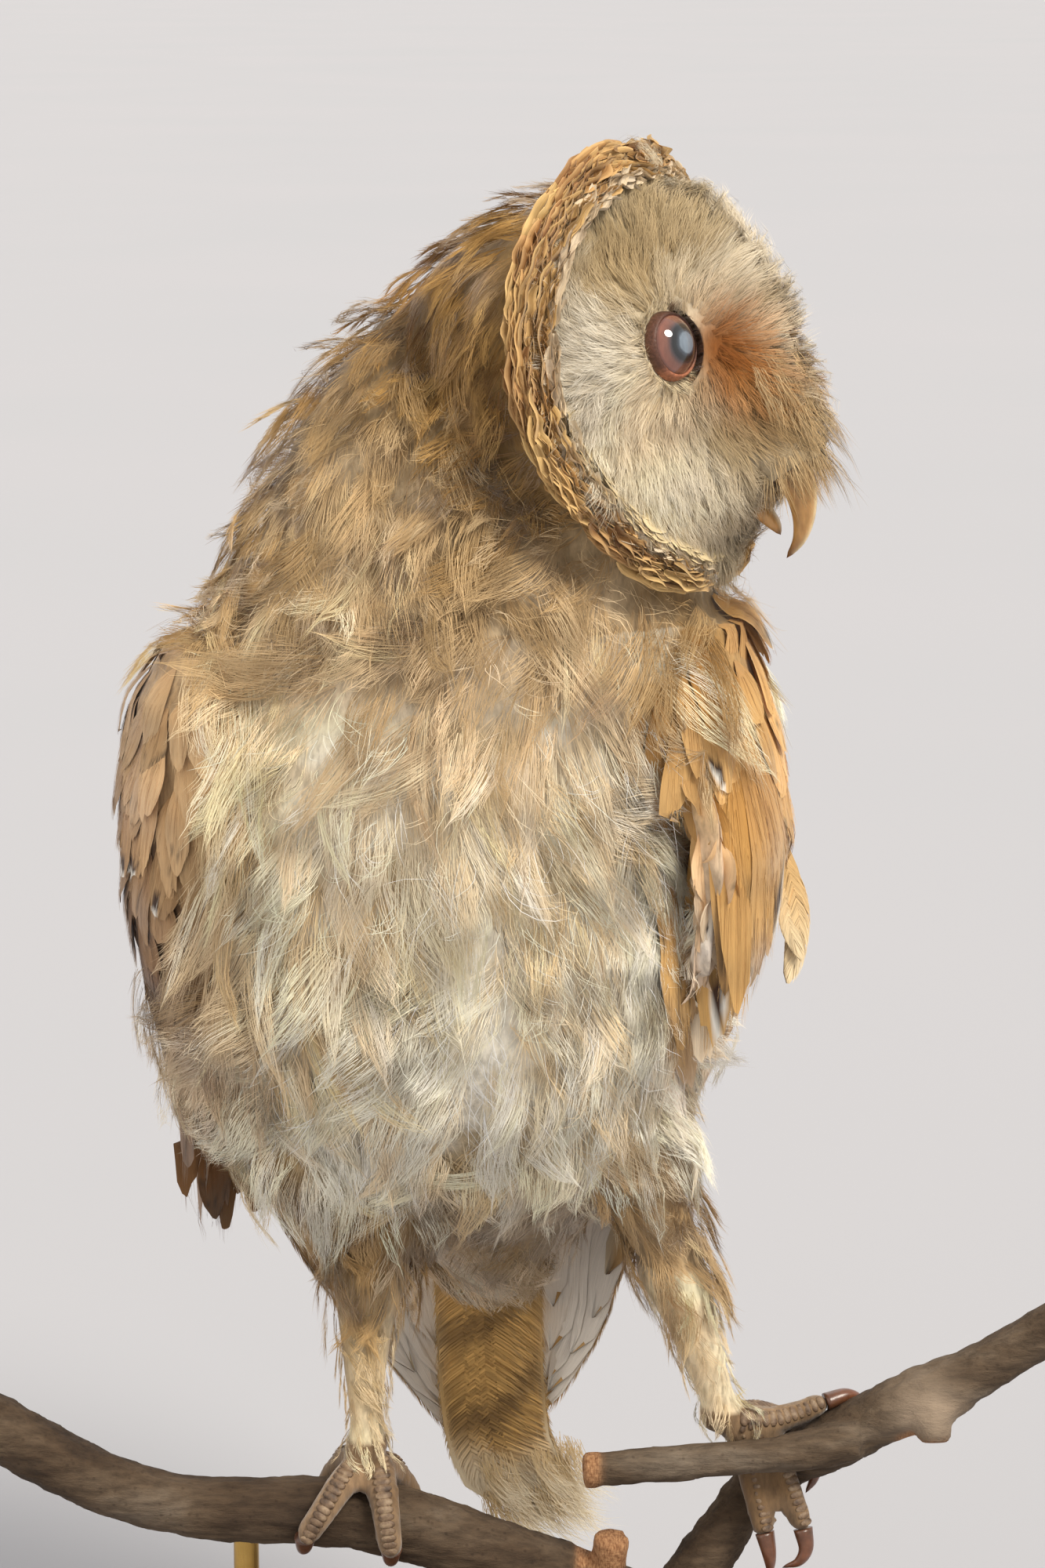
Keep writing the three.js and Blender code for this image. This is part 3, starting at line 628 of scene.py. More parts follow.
class Coat:
    """Collects tufts for one mesh: points, soft normals, colours, baking places, triangles."""

    def __init__(self, name):
        self.name, self.parts, self.count = name, [], 0

    def keep(self, *arrays):
        """Points, normals, colours, baking places, the barbs' map and triangles of some tufts."""
        rows = [values.reshape(-1, values.shape[-1]) for values in arrays]
        rows[-1] = rows[-1] + self.count
        self.parts.append(rows)
        self.count += len(rows[0])

    def add(self, lines, across, outward, width, colours, spots, soft):
        """Ribbons: lines, outward, colours and spots hold one row for each ribbon's stations.
        soft is how much of the light comes from the coat's surface rather than the ribbon's."""
        points, tris = ribbons(lines, across, width)
        pairs = lines.shape[1] - 1
        take = np.append(np.repeat(np.arange(pairs), 2), pairs)
        along_line = unit(np.gradient(lines, axis=1))
        face = unit(np.cross(along_line, across))
        flat = (face * outward).sum(-1, keepdims=True)
        face *= np.where(flat < 0, -1, 1)
        flat = np.minimum(np.abs(flat) * 1.3, 1) * soft
        shade = unit(face * (1 - flat) + outward * flat)
        grain = np.stack(np.broadcast_arrays(7.3 * np.arange(len(lines))[:, None] % 61,
                                             8.0 * take[None] / pairs), -1)
        self.keep(points, shade[:, take], colours[:, take], spots[:, take], grain, tris)

    def sheets(self, points, shade, colours, spots, grain, flip=False):
        """Smooth vanes. Every array is feathers x columns x rows; flip turns their faces over."""
        count, m, n = points.shape[:3]
        i, j = np.meshgrid(np.arange(m - 1), np.arange(n - 1), indexing="ij")
        a = (i * n + j).ravel()
        b, c, d = (a + 1, a + n + 1, a + n) if flip else (a + n, a + n + 1, a + 1)
        halves = np.concatenate([np.stack((a, b, c), -1), np.stack((a, c, d), -1)])
        tris = halves[None] + m * n * np.arange(count)[:, None, None]
        self.keep(points, shade, colours, spots, grain, tris)

    def build(self, finish, slot=None, *nodes):
        """Makes the mesh, its attributes and its object, and hangs it on the frame."""
        points, shade, colours, spots, grain, tris = (np.concatenate([p[i] for p in self.parts])
                                                      for i in range(6))
        colours = colours / np.maximum(colours.max(-1, keepdims=True) / 0.88, 1)
        mesh = bpy.data.meshes.new(self.name)
        mesh.vertices.add(len(points))
        mesh.vertices.foreach_set("co", points.ravel())
        mesh.loops.add(tris.size)
        mesh.loops.foreach_set("vertex_index", tris.ravel())
        mesh.polygons.add(len(tris))
        mesh.polygons.foreach_set("loop_start", np.arange(0, tris.size, 3))
        mesh.polygons.foreach_set("loop_total", np.full(len(tris), 3))
        mesh.update()
        tint_layer(mesh, np.clip(colours, 0.002, 1))
        layer = mesh.uv_layers.new(name="OFBake")
        layer.uv.foreach_set("vector", np.clip(spots, 0.001, 0.999)[tris.ravel()].ravel())
        lie = mesh.uv_layers.new(name="barbs")
        lie.uv.foreach_set("vector", grain[tris.ravel()].ravel())
        mesh.shade_smooth()
        mesh.normals_split_custom_set_from_vertices(shade)
        mesh.materials.append(finish)
        print(self.name, len(tris), "triangles")
        return dress(linked(self.name, mesh), slot, *nodes)


# %% [markdown]
# A coat has far too many triangles for each to get a place of its own on the small flat map kept
# for baking its finish. So every tuft gets one small patch of the map, where its root stands on the
# unwrapped bird. Tufts that share a patch are neighbours and look alike anyway.

# %% Where each tuft is baked
TUFT_PATCH = 0.003


def patch_spots(root_spot, aside, down):
    """Places in a tuft's own patch of the map, from its root's place; down runs from 0 to 1."""
    return root_spot + TUFT_PATCH * np.stack(np.broadcast_arrays(aside, down - 0.5), -1)


def body_spot(points):
    """An unwrap of the trunk, neck, legs and wings: turn about the spine, and height."""
    p = np.asarray(points) / MM
    spine = np.array((-15, 12))
    turn = np.arctan2(p[..., 1] - spine[1], p[..., 0] - spine[0]) / (2 * np.pi) + 0.5
    return np.stack((0.01 + 0.98 * ((turn - 0.25) % 1), 0.01 + 0.98 * p[..., 2] / 420), -1)


def head_spot(points):
    """An unwrap of the head: turn and height about its own upright axis."""
    f, r, u = on_head(points)
    turn = np.arctan2(r, f + 30) / (2 * np.pi) + 0.5
    return np.stack((0.01 + 0.98 * turn, 0.5 + 0.48 * np.clip(u / 75, -1, 1)), -1)


def face_spot(points):
    """An unwrap of the facial disc, spread flat by its width and height."""
    _, r, u = on_head(points)
    return np.stack((0.5 + r / 110, 0.5 + u / 125), -1)


# %% [markdown]
# Three makers turn shafts into feathers. The first lays two rows of barbs beside stiff shafts.
# The second makes tufts of loose strands, for the face and for stray down. The third makes soft
# vanes, whose barbs follow a rounded form.

# %% One feather after another
def drift_of(points):
    """A slow field of small tilts, which gives the down its soft lumps."""
    flat = points.reshape(-1, 3)
    return np.stack([waves(flat, 0.022, 300 + i) for i in range(3)], -1).reshape(points.shape)


def low_and_high(colours, count, axes=2):
    """Each feather's colours at root and tip, with empty axes for its points."""
    shape = (count,) + (1,) * axes + (3,)
    return (np.broadcast_to(c, (count, 3)).reshape(shape) for c in colours)


CLUMP, BARB_STATIONS = 5, 4
TWO_SIDES = np.array((-1, 1))[None, :, None, None]


def barbs_beside(coat, shafts, outward, half, barbs, seed, colours, paint, width, sweep, cup, rounding):
    """Two rows of barbs on every shaft, which cling together in clumps. half is each feather's
    half width in metres, and sweep the share of the shaft that a barb runs beside."""
    dice = new_dice(seed)
    count, clumps = len(shafts), int(math.ceil(barbs / CLUMP))
    barbs = clumps * CLUMP
    each = (count, 2, barbs)
    u = np.clip((np.arange(barbs) + 0.5)[None, None] / barbs + dice.uniform(-0.5, 0.5, each) / barbs, 0, 1)
    q = np.linspace(0, 1, BARB_STATIONS)
    run = sweep * (1 + 0.04 * dice.uniform(-1, 1, each))
    t = u[..., None] * (1 - sweep) + run[..., None] * q
    out = unit(at(outward, t))
    tail = unit(shafts[:, -1] - shafts[:, -2])[:, None, None, None]
    past_tip = tail * length_of(shafts)[:, None, None, None, None] * np.maximum(t - 1, 0)[..., None]
    base = at(shafts, t) + past_tip
    side = unit(np.cross(way_at(shafts, t), out)) * TWO_SIDES[..., None]
    reach = half[:, None, None] * np.minimum(1, 0.4 + 2.2 * u) * (1 - u ** rounding) ** 0.5
    reach = (reach * (1 + 0.04 * dice.uniform(-1, 1, each)) + 0.0004)[..., None]
    x = 1 - (1 - q) ** 1.7
    puff = 0.5 * dice.normal(0, 1, each) + 0.45 * dice.normal(0, 1, (count, 2, clumps)).repeat(CLUMP, 2)
    lift = 0.12 * MM * puff[..., None] * q ** 1.5 - cup * reach * x ** 2
    lines = base + side * (reach * x)[..., None] + out * lift[..., None]
    groups = lines.reshape(count, 2, clumps, CLUMP, BARB_STATIONS, 3)
    grip = 0.12 * dice.uniform(0.4, 1.25, (count, 2, clumps, 1, 1, 1)) * (q ** 1.3)[:, None]
    lines = (groups + grip * (groups.mean(3, keepdims=True) - groups)).reshape(-1, BARB_STATIONS, 3)
    flat = np.cross(unit(np.gradient(lines, axis=1)), out.reshape(-1, BARB_STATIONS, 3))
    across = unit(flat + 0.35 * dice.normal(0, 1, (len(lines), 1, 3)))
    share = np.clip(t, 0, 1)
    low, high = low_and_high(colours, count, 3)
    shade = low + (high - low) * ease(share, 0.15, 0.95)[..., None]
    shade = shade * (1 + 0.09 * dice.normal(0, 1, each + (1, 1)))
    beside = reach * x / half[:, None, None, None] * TWO_SIDES
    shade = paint(shade, share, beside, np.arange(count)[:, None, None, None])
    spots = patch_spots(body_spot(shafts[:, 0])[:, None, None, None], 0.45 * x * TWO_SIDES, share)
    coat.add(lines, across, unit(at(unit(outward), t)).reshape(-1, BARB_STATIONS, 3),
             width * MM * dice.uniform(0.75, 1.2, len(lines)), shade.reshape(-1, BARB_STATIONS, 3),
             spots.reshape(-1, BARB_STATIONS, 2), 0.55)


def lock_coat(coat, shafts, outward, spread, hairs, seed, colours, spot, width, wander=0.25,
              gather=0.7, soft=0.6, fray=0.12):
    """Tufts of fine strands: they start round the root and gather toward the lock's tip."""
    dice = new_dice(seed)
    count, stations = shafts.shape[:2]
    each = (count, hairs, 1, 1)
    spread = np.broadcast_to(spread, (count,))[:, None, None, None]
    out = outward[:, None]
    ahead = unit(np.gradient(shafts, axis=1))[:, None]
    side = unit(np.cross(ahead, out))
    angle, far = dice.uniform(0, 6.283, each), np.sqrt(dice.random(each))
    t = np.linspace(0, 1, stations)[None, None, :, None]
    length = 1 - 0.35 * dice.random(each)
    keep = 1 - gather * t * dice.uniform(0.5, 1.2, each)
    root = shafts[:, None, :1]
    path = root + (shafts[:, None] - root) * length
    stray = dice.normal(0, 1, (2,) + each) * fray * t ** 1.5
    bow = np.sin(t * 3.14 * dice.uniform(0.5, 1.4, each)) * wander * dice.normal(0, 1, each)
    reach = np.linalg.norm(shafts[:, -1] - shafts[:, 0], axis=-1)[:, None, None, None]
    lines = (path + side * (spread * far * np.cos(angle) * keep + reach * (stray[0] + 0.25 * bow))
             + ahead * spread * far * np.sin(angle) * (1 - t)
             + out * (reach * 0.5 * np.abs(stray[1]) + spread * 0.3 * far * t))
    lines = lines.reshape(-1, stations, 3)
    outs = np.broadcast_to(out, (count, hairs, stations, 3)).reshape(-1, stations, 3)
    flat = np.cross(unit(np.gradient(lines, axis=1)), outs)
    across = unit(flat + 0.4 * dice.normal(0, 1, (len(lines), 1, 3)))
    low, high = low_and_high(colours, count)
    shade = (low + (high - low) * ease(t, 0.1, 0.9)) * (1 + 0.10 * dice.normal(0, 1, each))
    spots = patch_spots(spot(shafts[:, 0])[:, None, None], (0.45 * far * np.cos(angle))[..., 0], t[..., 0])
    coat.add(lines, across, outs, width * MM * dice.uniform(0.7, 1.25, len(lines)),
             shade.reshape(-1, stations, 3), spots.reshape(-1, stations, 2), soft)


# %% Soft vanes
COLUMNS, SHEET_ROWS, SHEET_END, UNEVEN = 8, 11, 0.95, 0.03
FLARE, BARB_RUN = 1.7, 0.55  # how soon a vane is wide; share of the shaft that a barb runs beside


def petals(coat, shafts, outward, half, seed, colours, spot, fringe, cup=0.3, gather=0.45,
           relief=0.8, hair=0.155, round_tip=0.38, loose=1.1, paint=None, fringe_from=0.0, beyond=0.3,
           sheet=False):
    """Each feather is a fringe of single barbs on a rounded vane, over a smooth sheet where one
    is asked for. half is each vane's half width in metres, loose how far barbs leave it (mm)."""
    dice = new_dice(seed)
    count = len(shafts)
    index = np.arange(count)[:, None, None]
    half = np.broadcast_to(half, (count,))[:, None, None]
    gather = np.clip(gather * dice.uniform(0.4, 1.5, (count, 1, 1)), 0, 0.9)
    skew = dice.normal(0, 0.18, (count, 1, 1))
    tail = unit(shafts[:, -1] - shafts[:, -2])[:, None, None]
    full = length_of(shafts)[:, None, None]
    tilted = unit(outward + relief * drift_of(shafts))
    low, high = low_and_high(colours, count)
    patch = spot(shafts[:, 0])[:, None, None]

    def place(s, q):
        """Points at shares s across and q along each vane, their soft normals and two axes."""
        t = q * (1 - round_tip * s ** 2 + skew * s)
        x = s * (1 - (1 - np.clip(q, 0, 1)) ** FLARE) * (1 - gather * ease(q, 0.5, 1.05))
        out = unit(at(outward, t))
        side = unit(np.cross(way_at(shafts, t), out))
        over = np.maximum(t - 1, 0) * full
        spots = at(shafts, t) + tail * over[..., None] + side * (half * x)[..., None]
        return spots - out * (cup * half * x ** 2)[..., None], unit(at(tilted, t)), side, out

    longer = 1 + UNEVEN * dice.normal(0, 1, (count, COLUMNS + 1, 1))
    bands = 1 + UNEVEN * dice.normal(0, 1, (count, COLUMNS + 1, 1))
    if sheet:
        s = np.linspace(-1, 1, COLUMNS + 1)[None, :, None]
        stretch = 1 + (longer - 1) * np.linspace(0, 1, SHEET_ROWS) ** 2
        q = np.linspace(0.04, SHEET_END, SHEET_ROWS)[None, None] * stretch
        points, lit, _, _ = place(s, q)
        face = unit(np.cross(np.gradient(points, axis=1), np.gradient(points, axis=2)))
        agree = np.clip((face * lit).sum(-1, keepdims=True) * 1.3, 0, 1) * 0.7
        colour = (low + (high - low) * ease(q, 0.12, 0.85)[..., None]) * bands[..., None]
        colour = paint(colour, q + 0 * s, s + 0 * q, index)
        grain = np.stack((half / MM * s * (0.4 + 0.6 * q) + 5.7 * (index % 89), full / MM * q + 0 * s), -1)
        coat.sheets(points, unit(face * (1 - agree) + lit * agree), colour,
                    patch_spots(patch, 0.45 * s, q), grain)
    s = dice.uniform(-1, 1, (count, fringe, 1))
    start = fringe_from + (1 - fringe_from) * dice.random(s.shape) ** 0.8
    run = np.minimum(BARB_RUN * dice.uniform(0.6, 1.3, s.shape), 1 + beyond * dice.random(s.shape) - start)
    u = np.linspace(0, 1, 4)
    q = start + run.clip(0.06) * u
    points, lit, side, out = place(s * np.ones_like(u), q)
    swing = (dice.normal(0, 1, s.shape) * u ** 1.6 * loose * MM)[..., None]
    puff = ((0.15 + np.abs(dice.normal(0, 0.8, s.shape)) * u ** 1.5 * loose) * MM)[..., None]
    lines = (points + side * swing + out * puff).reshape(-1, 4, 3)
    lit = lit.reshape(-1, 4, 3)
    flat = np.cross(unit(np.gradient(lines, axis=1)), lit)
    across = unit(flat + 0.3 * dice.normal(0, 1, (len(lines), 1, 3)))
    colour = low + (high * 1.03 - low) * ease(q, 0.1, 0.8)[..., None]
    if paint is not None:
        colour = paint(colour, np.clip(q, 0, 0.999), s + 0 * q, index)
    spots = patch_spots(patch, 0.45 * s, np.clip(q, 0, 1))
    coat.add(lines, across, lit, hair * MM * dice.uniform(0.7, 1.3, len(lines)),
             (colour * (1 + 0.05 * dice.normal(0, 1, s.shape + (1,)))).reshape(-1, 4, 3),
             spots.reshape(-1, 4, 2), 0.85)


print("feather makers ready")

# %% [markdown]
# ## The finish of down
# Down scatters light softly. The shader stays rough, with a faint sheen for the fine hairs
# that are too small to model. Its colour comes from each tuft's own tint, broken up by fine
# noise that runs along each feather. The bare skin has no feathers' map, so its noise lies on
# Object coordinates.

# %% Plumage finish
def plumage_finish(name, roughness=0.75, sheen=0.3, vary=0.16, scale=900, depth=0.35, lie=True):
    """Down in the piece's own tint, broken up by noise at the scale of barbs."""
    material, tree, shader = new_finish(name, roughness, Sheen_Weight=sheen, Sheen_Roughness=0.5,
                                        Specular_IOR_Level=0.2)
    if lie:  # fine lines that run along each feather's own map, in millimetres
        place = add_node(tree, "ShaderNodeUVMap", {"uv_map": "barbs"})
        drawn_out = add_node(tree, "ShaderNodeMapping", Vector=place.outputs["UV"], Scale=(3.4, 0.16, 1.0))
        barbs = add_node(tree, "ShaderNodeTexNoise", Vector=drawn_out.outputs["Vector"], Scale=1.0,
                         Detail=4.0, Roughness=0.65).outputs["Fac"]
    else:
        barbs = noise_on_object(tree, scale, 5.0, (1, 1, 0.35))
    colour = mottled(tree, stored(tree, "tint", "Color"), barbs, 1.0, (0.32, 1 - vary),
                     (0.68, 1 + vary * 0.5))
    finished(tree, shader, colour, barbs, depth, 0.0004)
    return material


DOWN = plumage_finish("down")
SKIN_DOWN = plumage_finish("skin_under_down", vary=0.3, depth=0.8, scale=700, lie=False)
tint_layer(skin.data, skin_colour * 0.8)
skin.data.materials.clear()
skin.data.materials.append(SKIN_DOWN)
dress(skin, "plumage", *FLESH)

# %% [markdown]
# ## Breast, belly and neck
# The breast feathers point down and overlap like shingles, but old down drifts and swirls, most
# of all on the neck. The lie of the coat is therefore a field: straight down, turned by slow
# waves. Each feather has a short run of shaft and long soft barbs that flow beside it.

# %% The lie of the body feathers
def down_body(points):
    """Down, a little out to each side, and back over the rump."""
    p = np.asarray(points) / MM
    way = np.zeros_like(p)
    way[:, 2] = -1
    way[:, 0] = 0.25 * np.clip((p[:, 0] + 15) / 60, -1, 1)
    way[:, 1] = 0.35 * ease(p[:, 1], 0, 40)
    return way


def painted_lock_light(seed, strength=0.55):
    """A painter for down: a painted highlight along the crest of each lock, and ochre painted shade beside
    it.
    """
    dice = new_dice(seed)
    highlight_at, amount = dice.uniform(-0.5, 0.5, 4000), dice.random(4000) ** 0.9

    def paint(shade, share, beside, index):
        # painted highlight: the middle of each lock is lightened where its crest would catch the light
        crest = np.exp(-((beside - highlight_at[index]) / 0.35) ** 2) * amount[index] * ease(share, 0.1, 0.5)
        # painted shade: the sides of each lock are darkened toward ochre
        edge = strength * (1 - crest)[..., None] * np.array((0.08, 0.17, 0.32))
        lit = np.minimum(shade * 1.7, rgb(252, 246, 234))
        return (shade + strength * 1.6 * crest.clip(0, 0.8)[..., None] * (lit - shade)) * (1 - edge)
    return paint


def body_petals(coat, parts, spacing, seed, length, half, rise, fringe, keep=None, drift=0.4, size=0.06,
                lie=down_body, spot=body_spot, tip=1.06, base=(0.86, 0.80, 0.70), stray=0.2, bend=0.35,
                lift=0.3, as_part=None, lumps=0.25, hang=None, **look):
    """A field of soft vanes on some parts of the skin; spacing, length, half and rise are in mm."""
    dice = new_dice(seed)
    roots, part = scatter(parts, spacing * MM, seed + 1, keep)
    n = len(roots)
    twist = (drift * waves(roots, size, seed + 2) + 0.3 * drift * waves(roots, 0.022, seed + 9)
             + dice.normal(0, stray, n))
    long = (length(roots / MM) if callable(length) else length) * MM * dice.uniform(0.75, 1.25, n)
    tall = rise * MM * dice.uniform(0.8, 1.2, n) * (1 + lumps * waves(roots, 0.026, 301))
    if as_part:
        part = np.full(n, FLESH.index(as_part))
    shafts, outs = walk(roots, lie, long, tall, 8 if hang else 6, twist,
                        dice.normal(0, bend, n), lift * MM * dice.uniform(-0.6, 1.4, n), hang)
    ground = plumage(roots, part) * (1 + 0.02 * dice.normal(0, 1, (n, 1)))
    petals(coat, shafts, outs, half * MM * dice.uniform(0.7, 1.3, n), seed + 3,
           (ground * np.array(base), np.minimum(ground * tip, 0.92)), spot, fringe, **look)
    return coat


def wisps(coat, parts, spacing, seed, length, keep=None, curl=0.7):
    """A few long fine barbs that float over the coat and curl."""
    dice = new_dice(seed)
    roots, part = scatter(parts, spacing * MM, seed + 1, keep)
    n = len(roots)
    shafts, outs = walk(roots, down_body, length * MM * dice.uniform(0.6, 1.3, n),
                        6.0 * MM * dice.uniform(0.8, 1.2, n), 6, dice.normal(0, 0.5, n),
                        dice.normal(0, curl, n), dice.uniform(-0.4, 1.5, n) * MM)
    ground = np.minimum(plumage(roots, part) * 1.2, 0.9)
    lock_coat(coat, shafts, outs, 2.2 * MM, 5, seed + 2, (ground, ground), body_spot, 0.13,
              wander=0.5, gather=0.4, soft=0.85, fray=0.15)
    return coat


# %% Breast, belly, undertail and neck
BELLY_TOP, BELLY_FOOT = 0.236, 0.172


def golden_side(p):
    """Where the breast ends and the folded left wing begins, seen from the front."""
    x, z = p[:, 0] / MM, p[:, 2] / MM
    edge = np.maximum(33, 29 + 0.39 * (z - 269)) + 0.2 * np.maximum(232 - z, 0)
    return (x > edge) & (p[:, 1] < 0.012) & (z > 205) & (z < 306)


def on_breast(p):
    return (p[:, 2] > BELLY_TOP) & ~golden_side(p)


def on_belly(p):
    return (p[:, 2] <= BELLY_TOP) & (p[:, 2] > BELLY_FOOT) & ~golden_side(p)


for name, seed, keep, tip in (("breast_feathers", 11, on_breast, 1.06),
                              ("belly_feathers", 21, on_belly, 1.14)):
    down = body_petals(Coat(name), ["trunk"], 6.2, seed, 30, 7.5, 4.6, 154, keep=keep, drift=0.5,
                       lumps=0.4, paint=painted_lock_light(seed), base=(0.92, 0.87, 0.79), tip=tip)
    wisps(down, ["trunk"], 5.5, seed + 5, 14, keep).build(DOWN)
body_petals(Coat("undertail_feathers"), ["trunk"], 5.4, 31, 22, 5.0, 3.0, 60,
            keep=lambda p: p[:, 2] <= BELLY_FOOT).build(DOWN)
down = body_petals(Coat("neck_feathers"), ["neck"], 5.6, 41, 24, 7.0, 5.0, 148, drift=1.0, size=0.05,
                   stray=0.15, bend=0.6, lift=0.7, lumps=0.5, paint=painted_lock_light(43, 0.5), hair=0.145,
                   gather=0.35, keep=lambda p: ~golden_side(p))
wisps(down, ["neck"], 5.0, 46, 12, curl=1.2).build(DOWN)

# %% [markdown]
# The down of the flanks swells over the front edge of each folded wing. It is the trunk's down
# in another lie: outwards to the wing instead of straight down.

# %% Flank down that laps over the wings
FAR = 9.0  # metres; a limit that nothing reaches


def inside(points, *limits):
    """True where a point lies between the two limits (metres) given for each axis."""
    low, high = np.array(limits).T
    return ((points > low) & (points < high)).all(1)


def to_the_left(p):
    return down_body(p) + np.array((0.45, -0.15, 0))


def to_the_right(p):
    return down_body(p) + np.array((-0.7, -0.1, 0.1))


lap = dict(lift=0.6, drift=0.3, as_part="trunk", paint=painted_lock_light(83))
flank = Coat("flank_feathers")
body_petals(flank, ["trunk"], 5.6, 81, 17, 5.0, 5.5, 120, lie=to_the_left, **lap,
            keep=lambda p: inside(p, (0.026, FAR), (-FAR, 0.004), (0.180, 0.262)) & ~golden_side(p))
body_petals(flank, ["trunk", "wing_right_coverts"], 6.0, 86, 27, 7.0, 7.0, 120, lie=to_the_right, **lap,
            keep=lambda p: inside(p, (-FAR, -0.050), (-FAR, 0.002), (0.172, 0.214))).build(DOWN)

# %% [markdown]
# ## Crown and nape
# Behind the face the feathers turn back over the crown and run down the nape. They are short
# and dense, and on this old mount some curl away from the head in points.

# %% Crown and nape
def back_over_crown(points):
    """Backwards from the face, turning down on the nape."""
    f, r, _ = on_head(points)
    down = ease(-f, 10, 60)[:, None]
    return -FORE * (1 - 0.75 * down) - UP * (0.25 + 0.75 * down) + 0.15 * np.sign(r)[:, None] * SIDE


body_petals(Coat("crown_feathers"), ["head"], 4.0, 51, 17, 4.4, 4.0, 70, lie=back_over_crown,
            spot=head_spot, stray=0.25, bend=0.6, lift=1.0, beyond=0.2, tip=1.12, paint=painted_lock_light(53, 0.6),
            loose=0.8, gather=0.6).build(DOWN)
body_petals(Coat("nape_tufts"), ["head", "neck"], 8.0, 56, 14, 3.8, 5.0, 70, lie=back_over_crown,
            spot=head_spot, stray=0.4, bend=0.6, lift=3.2, beyond=0.2, loose=1.0, gather=0.6,
            keep=lambda p: (on_head(p)[0] < -16) & (on_head(p)[2] > -34)).build(DOWN)

# %% [markdown]
# ## The face
# The disc is a dish of fine silky feathers that stream away from each eye. They are single
# strands rather than vanes, gathered in small tufts, so locks of strands make them. On the ridge
# between the eyes the tufts stand up in a brush that hangs over the bill.

# %% Facial disc
def from_the_eye(points):
    """Away from the nearer eye, forwards on the ridge and down beside the bill."""
    _, r, u = on_head(points)
    side = np.where(r < 0, -1.0, 1.0)
    dr, du = r - side * EYE_SIDE, u - EYE_UP
    low = ease(-u, 14, 40) * np.exp(-(r / 12) ** 2)
    inner = np.exp(-(r / 7) ** 2)
    way = dr[:, None] * SIDE + du[:, None] * UP
    way = unit(way) + inner[:, None] * (0.9 * FORE + 0.35 * UP * np.sign(u + 12)[:, None])
    return way + low[:, None] * (-1.2 * UP + 0.4 * FORE)


def away_from_eye(points):
    """True for places that leave room for the eye and its lids."""
    _, r, u = on_head(points)
    return np.hypot((np.abs(r) - EYE_SIDE - 0.6) * 1.05, u - EYE_UP) > 7.3


def face_tufts(name, seed, spacing, hairs, keep, length, rise, spread, lift=0.5, gather=0.7):
    """Tufts of the disc; length and rise hold a number (mm) for its sides and one for the ridge."""
    dice = new_dice(seed)
    roots, part = scatter(["facial_disc"], spacing * MM, seed + 1, lambda p: away_from_eye(p) * keep(p))
    n = len(roots)
    _, r, _ = on_head(roots)
    middle = np.exp(-(r / 8) ** 2)
    twist = 0.25 * waves(roots, 0.02, seed + 2) + dice.normal(0, 0.14, n)
    long = (length[0] + (length[1] - length[0]) * middle) * MM * dice.uniform(0.8, 1.2, n)
    tall = (rise[0] + (rise[1] - rise[0]) * middle) * MM * dice.uniform(0.7, 1.2, n)
    shafts, outs = walk(roots, from_the_eye, long, tall, 3, twist, 0.0,
                        lift * MM * dice.uniform(-0.5, 1.5, n))
    ground = plumage(roots, part) * (1 + 0.05 * dice.normal(0, 1, (n, 1)))
    coat = Coat(name)
    lock_coat(coat, shafts, outs, spread * MM, hairs, seed + 3,
              (ground * (0.84, 0.79, 0.70), ground * 1.1), face_spot, 0.13, gather=gather)
    coat.build(DOWN)


def near_the_ruff(points):
    _, r, u = on_head(points)
    return (np.abs(r) > 25) & (np.abs(r) < 32) & (u > -22) & (u < 26)


for name, seed, sign in (("face_feathers_left", 61, 1), ("face_feathers_right", 66, -1)):
    face_tufts(name, seed, 1.5, 20, lambda p: on_head(p)[1] * sign > 0, (8.0, 10.0), (2.3, 6.0), 0.85)
face_tufts("face_fluff", 64, 2.4, 24, near_the_ruff, (8.0, 8.0), (3.6, 3.6), 1.5, 2.4, 0.5)

# %% [markdown]
# Very short feathers stand round the lids like lashes. They are buff, and rust brown toward the
# inner corner, which gives the eye its teardrop look. They grow from a ring that is set on the
# line of sight, because the skin there is too curved to scatter roots on.

# %% Short feathers round the lids
LASHES, LASH_TONE, CORNER_TONE = 170, rgb(222, 204, 168), rgb(96, 58, 30)


def round_the_eye(place, side):
    """How far above the eye's middle a place lies, and how far inward, in eye radii or so."""
    _, r, u = on_head(place)
    return (u - EYE_UP) / 8, -(side * r - EYE_SIDE) / 8


dice = new_dice(68)
lashes = Coat("eyelid_feathers")
for side in (1, -1):
    centre, line = eye_centre(side), gaze_line(side)
    across = unit(np.cross(line, UP))
    angle = dice.uniform(0, 2 * np.pi, (LASHES, 1))
    ring = np.cos(angle) * across + np.sin(angle) * np.cross(line, across)
    base = centre + (ring * dice.uniform(7.4, 8.6, (LASHES, 1)) + line * 2.0) * MM
    grow = unit(line * 0.8 + ring * 0.6 + 0.15 * dice.normal(0, 1, (LASHES, 3)))
    grow = grow * dice.uniform(2.6, 4.2, (LASHES, 1)) * MM
    shafts = np.stack([base + grow * t + ring * (t * t * MM) for t in (0, 0.35, 0.7, 1)], 1)
    above, inward = round_the_eye(base, side)
    tint = LASH_TONE + ease(above * 0.6 + inward * 0.9, 0.35, 1.0)[:, None] * (CORNER_TONE - LASH_TONE)
    lock_coat(lashes, shafts, np.repeat(unit(line + ring * 0.4)[:, None], 4, 1), 0.7 * MM, 9, 69 + side,
              (tint, tint * 1.05), face_spot, 0.12, gather=0.6)
lashes.build(DOWN)

# %% [markdown]
# An owl's bill almost hides in a brush of bristly feathers that hangs from the ridge above it.
# The brush is set over the other face feathers: each bristle leaves the skin, bends forward and
# falls straight down.

# %% Bristles over the bill
def over_the_bill(points):
    _, r, u = on_head(points)
    return (np.abs(r) < 7.5) & (u < 0) & (u > -27)


